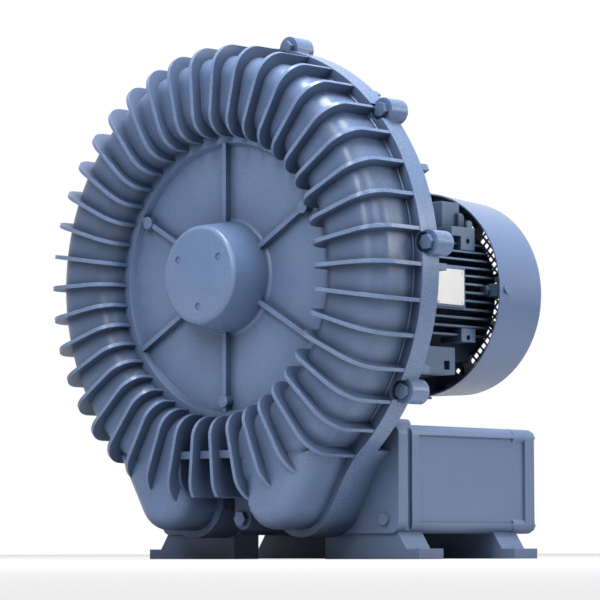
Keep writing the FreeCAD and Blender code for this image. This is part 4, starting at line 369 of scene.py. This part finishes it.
# A blade's outline in (radius, depth) with its rear tip corner rounded, set half a thickness to either
# side of a radius: the point (r, depth, t) at blade angle a lies at (r cos a - t sin a, depth,
# axis height + r sin a + t cos a).
blade = np.array([(BLADE_ROOT, BLADE_FRONT), (BLADE_TIP, BLADE_FRONT)]
                 + arc((BLADE_TIP - TIP_ROUND, BLADE_TIP_BACK - TIP_ROUND), TIP_ROUND, 0, 90, 5)
                 + [(BLADE_ROOT, BLADE_BACK)])
blade_corners = len(blade)
radius, deep = np.tile(blade[:, 0], 2), np.tile(blade[:, 1], 2)
off_side = np.repeat([-BLADE_THICKNESS / 2, BLADE_THICKNESS / 2], blade_corners)
way = np.radians(BLADE_TURN + 360 / BLADES * np.arange(BLADES))[:, None]
blade_points = np.stack([radius * np.cos(way) - off_side * np.sin(way), np.tile(deep, (BLADES, 1)),
                         AXIS_HEIGHT + radius * np.sin(way) + off_side * np.cos(way)], -1)
blade_faces = []
for first in len(hub_points) + np.arange(BLADES) * 2 * blade_corners:
    blade_faces += prism_faces(first, blade_corners)
fan = solid_piece("PaddleFan", np.concatenate([hub_points, blade_points.reshape(-1, 3)]).tolist(),
                  hub_faces + blade_faces, nylon, "rotor")
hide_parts("fan")
dress(nylon, "fan")

# ---- Fan cowl and its screws ----
# A cup pressed from 2 mm sheet steel with a slight taper; its rear face is pierced with small square
# holes set cornerwise. It is painted apart, smoother and glossier, and screwed to the frame's ears.
COWL_FRONT, COWL_BACK, COWL_WALL, COWL_ROUND = 0.1565, 0.253, 0.002, 0.012
COWL_RADIUS_FRONT, COWL_RADIUS_BACK = 0.130, 0.125
PIERCED_RADIUS, RIM_LAP, PLAIN_RIM = 0.106, 0.005, 0.007
HOLE, HOLE_PITCH = 0.0062, 0.0087
SHEET_LEVELS = (COWL_BACK - 0.0018, COWL_BACK - 0.0002)
cowl_paint = painted("CowlPaint", "607496", 0.24, 0.42, Grain=0.015, Soil=0.25, Pimples=0.0,
                     Edge_radius=0.0008)
bend = (COWL_RADIUS_BACK - COWL_ROUND, COWL_BACK - COWL_ROUND)
cup = ([(COWL_RADIUS_FRONT - COWL_WALL, COWL_FRONT), (COWL_RADIUS_FRONT, COWL_FRONT)]
       + arc(bend, COWL_ROUND, 0, 90, 9)
       + [(PIERCED_RADIUS - RIM_LAP, COWL_BACK), (PIERCED_RADIUS - RIM_LAP, COWL_BACK - COWL_WALL)]
       + arc(bend, COWL_ROUND - COWL_WALL, 90, 0, 9))
cup_points, cup_faces = spun(cup, 0, 360, 160)
# The pierced face is a grid whose lines are the holes' edges, turned by 45 degrees: a point lies at
# ((u - v) / sqrt 2, depth, axis height + (u + v) / sqrt 2). Cells are kept within the pierced circle,
# but for every second one in both directions, which is a hole. Front, back and the holes' walls follow.
half_count = int(PIERCED_RADIUS / HOLE_PITCH) + 1
hole_centres = np.arange(-half_count, half_count + 1) * HOLE_PITCH
lines = np.sort(np.concatenate([hole_centres - HOLE / 2, hole_centres + HOLE / 2]))
u, v = np.meshgrid(lines, lines, indexing="ij")
middles = (lines[:-1] + lines[1:]) / 2
reach = np.hypot(*np.meshgrid(middles, middles, indexing="ij"))
spans = np.arange(len(middles)) % 2 == 0
holes = spans[:, None] & spans[None, :] & (reach < PIERCED_RADIUS - PLAIN_RIM)
kept = (reach < PIERCED_RADIUS - COWL_WALL) & ~holes
cornerwise = math.sqrt(2)
sheet = [np.stack([(u - v) / cornerwise, np.full_like(u, level), AXIS_HEIGHT + (u + v) / cornerwise],
                  -1).reshape(-1, 3) for level in SHEET_LEVELS]
many = len(lines)
i, j = np.nonzero(kept)
corners = np.stack([i * many + j, (i + 1) * many + j, (i + 1) * many + j + 1, i * many + j + 1], -1)
framed = np.pad(kept, 1)
i, j = np.nonzero(framed[1:, 1:-1] != framed[:-1, 1:-1])
walls_u = np.stack([i * many + j, i * many + j + 1], -1)
i, j = np.nonzero(framed[1:-1, 1:] != framed[1:-1, :-1])
walls_v = np.stack([i * many + j, (i + 1) * many + j], -1)
walls = np.concatenate([walls_u, walls_v])
layer = many * many
walls = np.stack([walls[:, 0], walls[:, 1], walls[:, 1] + layer, walls[:, 0] + layer], -1)
grid_faces = np.concatenate([corners, corners + layer, walls])
used, renumbered = np.unique(grid_faces, return_inverse=True)
grid_points = np.concatenate(sheet)[used]
grid_faces = renumbered.reshape(grid_faces.shape) + len(cup_points)
cowl = solid_piece("PiercedCowl", np.concatenate([cup_points, grid_points]).tolist(),
                   cup_faces + grid_faces.tolist(), cowl_paint, "casing_and_motor")
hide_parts("fan_cowl")
smooth = np.zeros(len(cowl.data.polygons), bool)
smooth[:len(cup_faces)] = True
cowl.data.polygons.foreach_set("use_smooth", smooth)
cowl.data.set_sharp_from_angle(angle=math.radians(30))
dress(cowl_paint, "fan_cowl", "cowl_screws")

# ---- Terminal box ----
# A cast aluminium box on the frame's pedestal, painted with the motor; its lid is held by zinc-plated
# screws, and inside stands a moulded terminal board. The cable enters through a nylon gland.
dress(painted("BoxPaint", "4f6079", 0.38, Grain=0.35), "terminal_box", "terminal_box_lid")
dress(moulded("BoardPlastic", "332a24", 0.45), "terminal_board")
dress(nylon, "cable_gland")


def plated(name, code, rough):
    """Zinc plate or drawn aluminium: small clouded patches of tone and gloss."""
    material, tree, shader = new_material(name)
    patches = grain(tree, node(tree, "ShaderNodeTexCoord").outputs["Object"], 160.0)
    base = linear(code)
    join(tree, tint(tree, patches, shade(base, 0.8), base), shader.inputs["Base Color"])
    join(tree, remap(tree, patches, 0.3, 0.7, rough - 0.08, rough + 0.10), shader.inputs["Roughness"])
    shader.inputs["Metallic"].default_value = 1.0
    lift(tree, shader, patches, 0.00005)
    return material


zinc = plated("ZincPlate", "b9bcc0", 0.35)
dress(zinc, "terminal_lid_screws")

# ---- Nameplate ----
# A thin white-lacquered aluminium plate, left blank, on a flat of the frame, with four small rivets.
dress(painted("PlateLacquer", "d9d6d1", 0.32, 0.3, Grain=0.04, Soil=0.3, Pimples=0.0,
              Edge_radius=0.0003), "nameplate")
dress(plated("RivetAluminium", "b4b8bd", 0.4), "nameplate_rivets")

# ---- Rear housing and casing seal ----
# The sand-cast back half of the casing, with the bolt lugs along its rim. It is painted with the front
# cover after both are bolted together, and a rubber lip seal closes it round the shaft.
casing_paint = painted("CasingPaint", "617595", 0.26, 0.36, Grain=0.35, Soil=1.0, Edge_radius=0.0010)
dress(casing_paint, "rear_housing")
dress(moulded("SealRubber", "151515", 0.6), "casing_shaft_seal")

# ---- Silencers, liners and end covers ----
# Two long sand-cast boxes under the motor, lined with foam sleeves and closed at the rear by covers
# with the port stubs. They are screwed to the housing from inside with zinc-plated bolts.
dress(painted("SilencerPaint", "60728f", 0.34, 0.32, Grain=0.55, Soil=0.6), "left_silencer",
      "right_silencer", "left_end_cover", "right_end_cover", "end_cover_bolts")
dress(moulded("Foam", "2a2b2e", 0.9, 420.0, 0.002), "left_silencer_liner", "right_silencer_liner")
dress(zinc, "silencer_bolts")

# ---- Impeller, nut and lock washer ----
# A cast aluminium wheel, machined all over, keyed to the shaft and held by a nut and a lock washer.
dress(turned_metal("MachinedAluminium", "b4b8bd", 0.38, 500.0), "impeller")
dress(zinc, "impeller_nut", "impeller_lock_washer")

# ---- Front cover ----
# One sand casting with 42 upright fins round its torus, a ribbed disc and the bearing cap. Where the
# torus meets the flange a thin cast bead runs round, which shows as a bright line between the fins.
# It is a round bar of twelve flats, sunk into the corner and carried round from one leg to the other.
TORUS_RADIUS, FLANGE_FACE = 0.264, -0.1665
BEAD_RADIUS, BEAD_OFFSET, BEAD_START, BEAD_STOP = 0.0018, 0.0006, -42, 222
dress(casing_paint, "front_cover")
bead_points, bead_faces = spun(arc((TORUS_RADIUS + BEAD_OFFSET, FLANGE_FACE - BEAD_OFFSET), BEAD_RADIUS,
                                   0, 330, 12), BEAD_START, BEAD_STOP, 260)
bead = solid_piece("CastBead", bead_points.tolist(), bead_faces, casing_paint, "casing_and_motor")
bead.data.shade_smooth()

# ---- Casing bolts ----
# Steel hexagon bolts through the flange, painted over with the casing.
dress(casing_paint, "cover_bolts")

# ---- Camera ----
# It stands in front and to the right, just above floor level, with a long lens.
eye = bpy.data.cameras.new("Camera")
eye.sensor_width = 36.0
eye.lens = 183.33
eye.clip_end = 40.0
camera = bpy.data.objects.new("Camera", eye)
scene.collection.objects.link(camera)
camera.matrix_world = Matrix((
    (0.73461812, 0.05732906, 0.67605443, 2.52391),
    (0.67847698, -0.05872143, -0.73227098, -2.80527),
    (-0.00228152, 0.99662689, -0.08203428, 0.00904),
    (0, 0, 0, 1)))
scene.camera = camera


# ---- Lamps ----
# A tall narrow box in front for the streak on the rounded castings, a large soft box overhead, one at
# the right, and one behind for the cowl and the fins' crests.
def soft_box(name, place, target, width, power, height=None):
    """A rectangular lamp at a place, facing a target."""
    data = bpy.data.lights.new(name, "AREA")
    data.shape = "RECTANGLE"
    data.size = width
    data.size_y = height or width
    data.energy = power
    item = bpy.data.objects.new(name, data)
    scene.collection.objects.link(item)
    item.location = place
    item.rotation_euler = (Vector(target) - Vector(place)).to_track_quat("-Z", "Y").to_euler()


soft_box("Key", (0.42, -1.75, 1.32), (0, -0.2, 0.36), 0.30, 26, 1.25)
soft_box("Overhead", (0.35, -0.3, 2.7), (0, 0, 0.33), 1.3, 125)
soft_box("Side", (2.3, -0.95, 1.9), (0, 0, 0.33), 1.2, 27)
soft_box("Back", (2.3, 1.7, 1.1), (0.1, 0.2, 0.33), 1.0, 26)

# ---- Surroundings and floor ----
# White paper behind and a pale floor; the object's own shadow falls on the floor.
world = bpy.data.worlds.new("Studio")
scene.world = world
world.use_nodes = True
sky = world.node_tree
fill = sky.nodes["Background"]
fill.inputs["Color"].default_value = (0.70, 0.80, 1.0, 1)
fill.inputs["Strength"].default_value = 0.05
paper = node(sky, "ShaderNodeBackground")
paper.inputs["Color"].default_value = (1, 1, 1, 1)
rays = node(sky, "ShaderNodeLightPath")
direct = maths(sky, "MAXIMUM", rays.outputs["Is Camera Ray"], rays.outputs["Is Glossy Ray"])
direct = maths(sky, "MAXIMUM", direct, rays.outputs["Is Transmission Ray"])
either = node(sky, "ShaderNodeMixShader")
join(sky, direct, either.inputs["Fac"])
join(sky, fill.outputs[0], either.inputs[1])
join(sky, paper.outputs[0], either.inputs[2])
join(sky, either.outputs[0], sky.nodes["World Output"].inputs["Surface"])
scene.view_settings.view_transform = "Standard"

FLOOR_REACH, FLOOR_LEVEL, FLOOR_GLOW = 6.0, -0.0004, 0.7
floor_mesh = bpy.data.meshes.new("Floor")
floor_mesh.from_pydata([(FLOOR_REACH * across, FLOOR_REACH * along, FLOOR_LEVEL)
                        for across, along in ((-1, -1), (1, -1), (1, 1), (-1, 1))], [], [(0, 1, 2, 3)])
floor = bpy.data.objects.new("Floor", floor_mesh)
scene.collection.objects.link(floor)
ground, ground_tree, ground_shader = new_material("PaleFloor")
ground_shader.inputs["Base Color"].default_value = (0.52, 0.52, 0.52, 1)
ground_shader.inputs["Roughness"].default_value = 0.8
glow = node(ground_tree, "ShaderNodeEmission")
glow.inputs["Color"].default_value = (1, 1, 1, 1)
blend = node(ground_tree, "ShaderNodeMixShader")
seen = node(ground_tree, "ShaderNodeLightPath").outputs["Is Camera Ray"]
join(ground_tree, maths(ground_tree, "MULTIPLY", seen, FLOOR_GLOW), blend.inputs["Fac"])
join(ground_tree, ground_shader.outputs[0], blend.inputs[1])
join(ground_tree, glow.outputs[0], blend.inputs[2])
join(ground_tree, blend.outputs[0], ground_tree.nodes["Material Output"].inputs["Surface"])
floor_mesh.materials.append(ground)
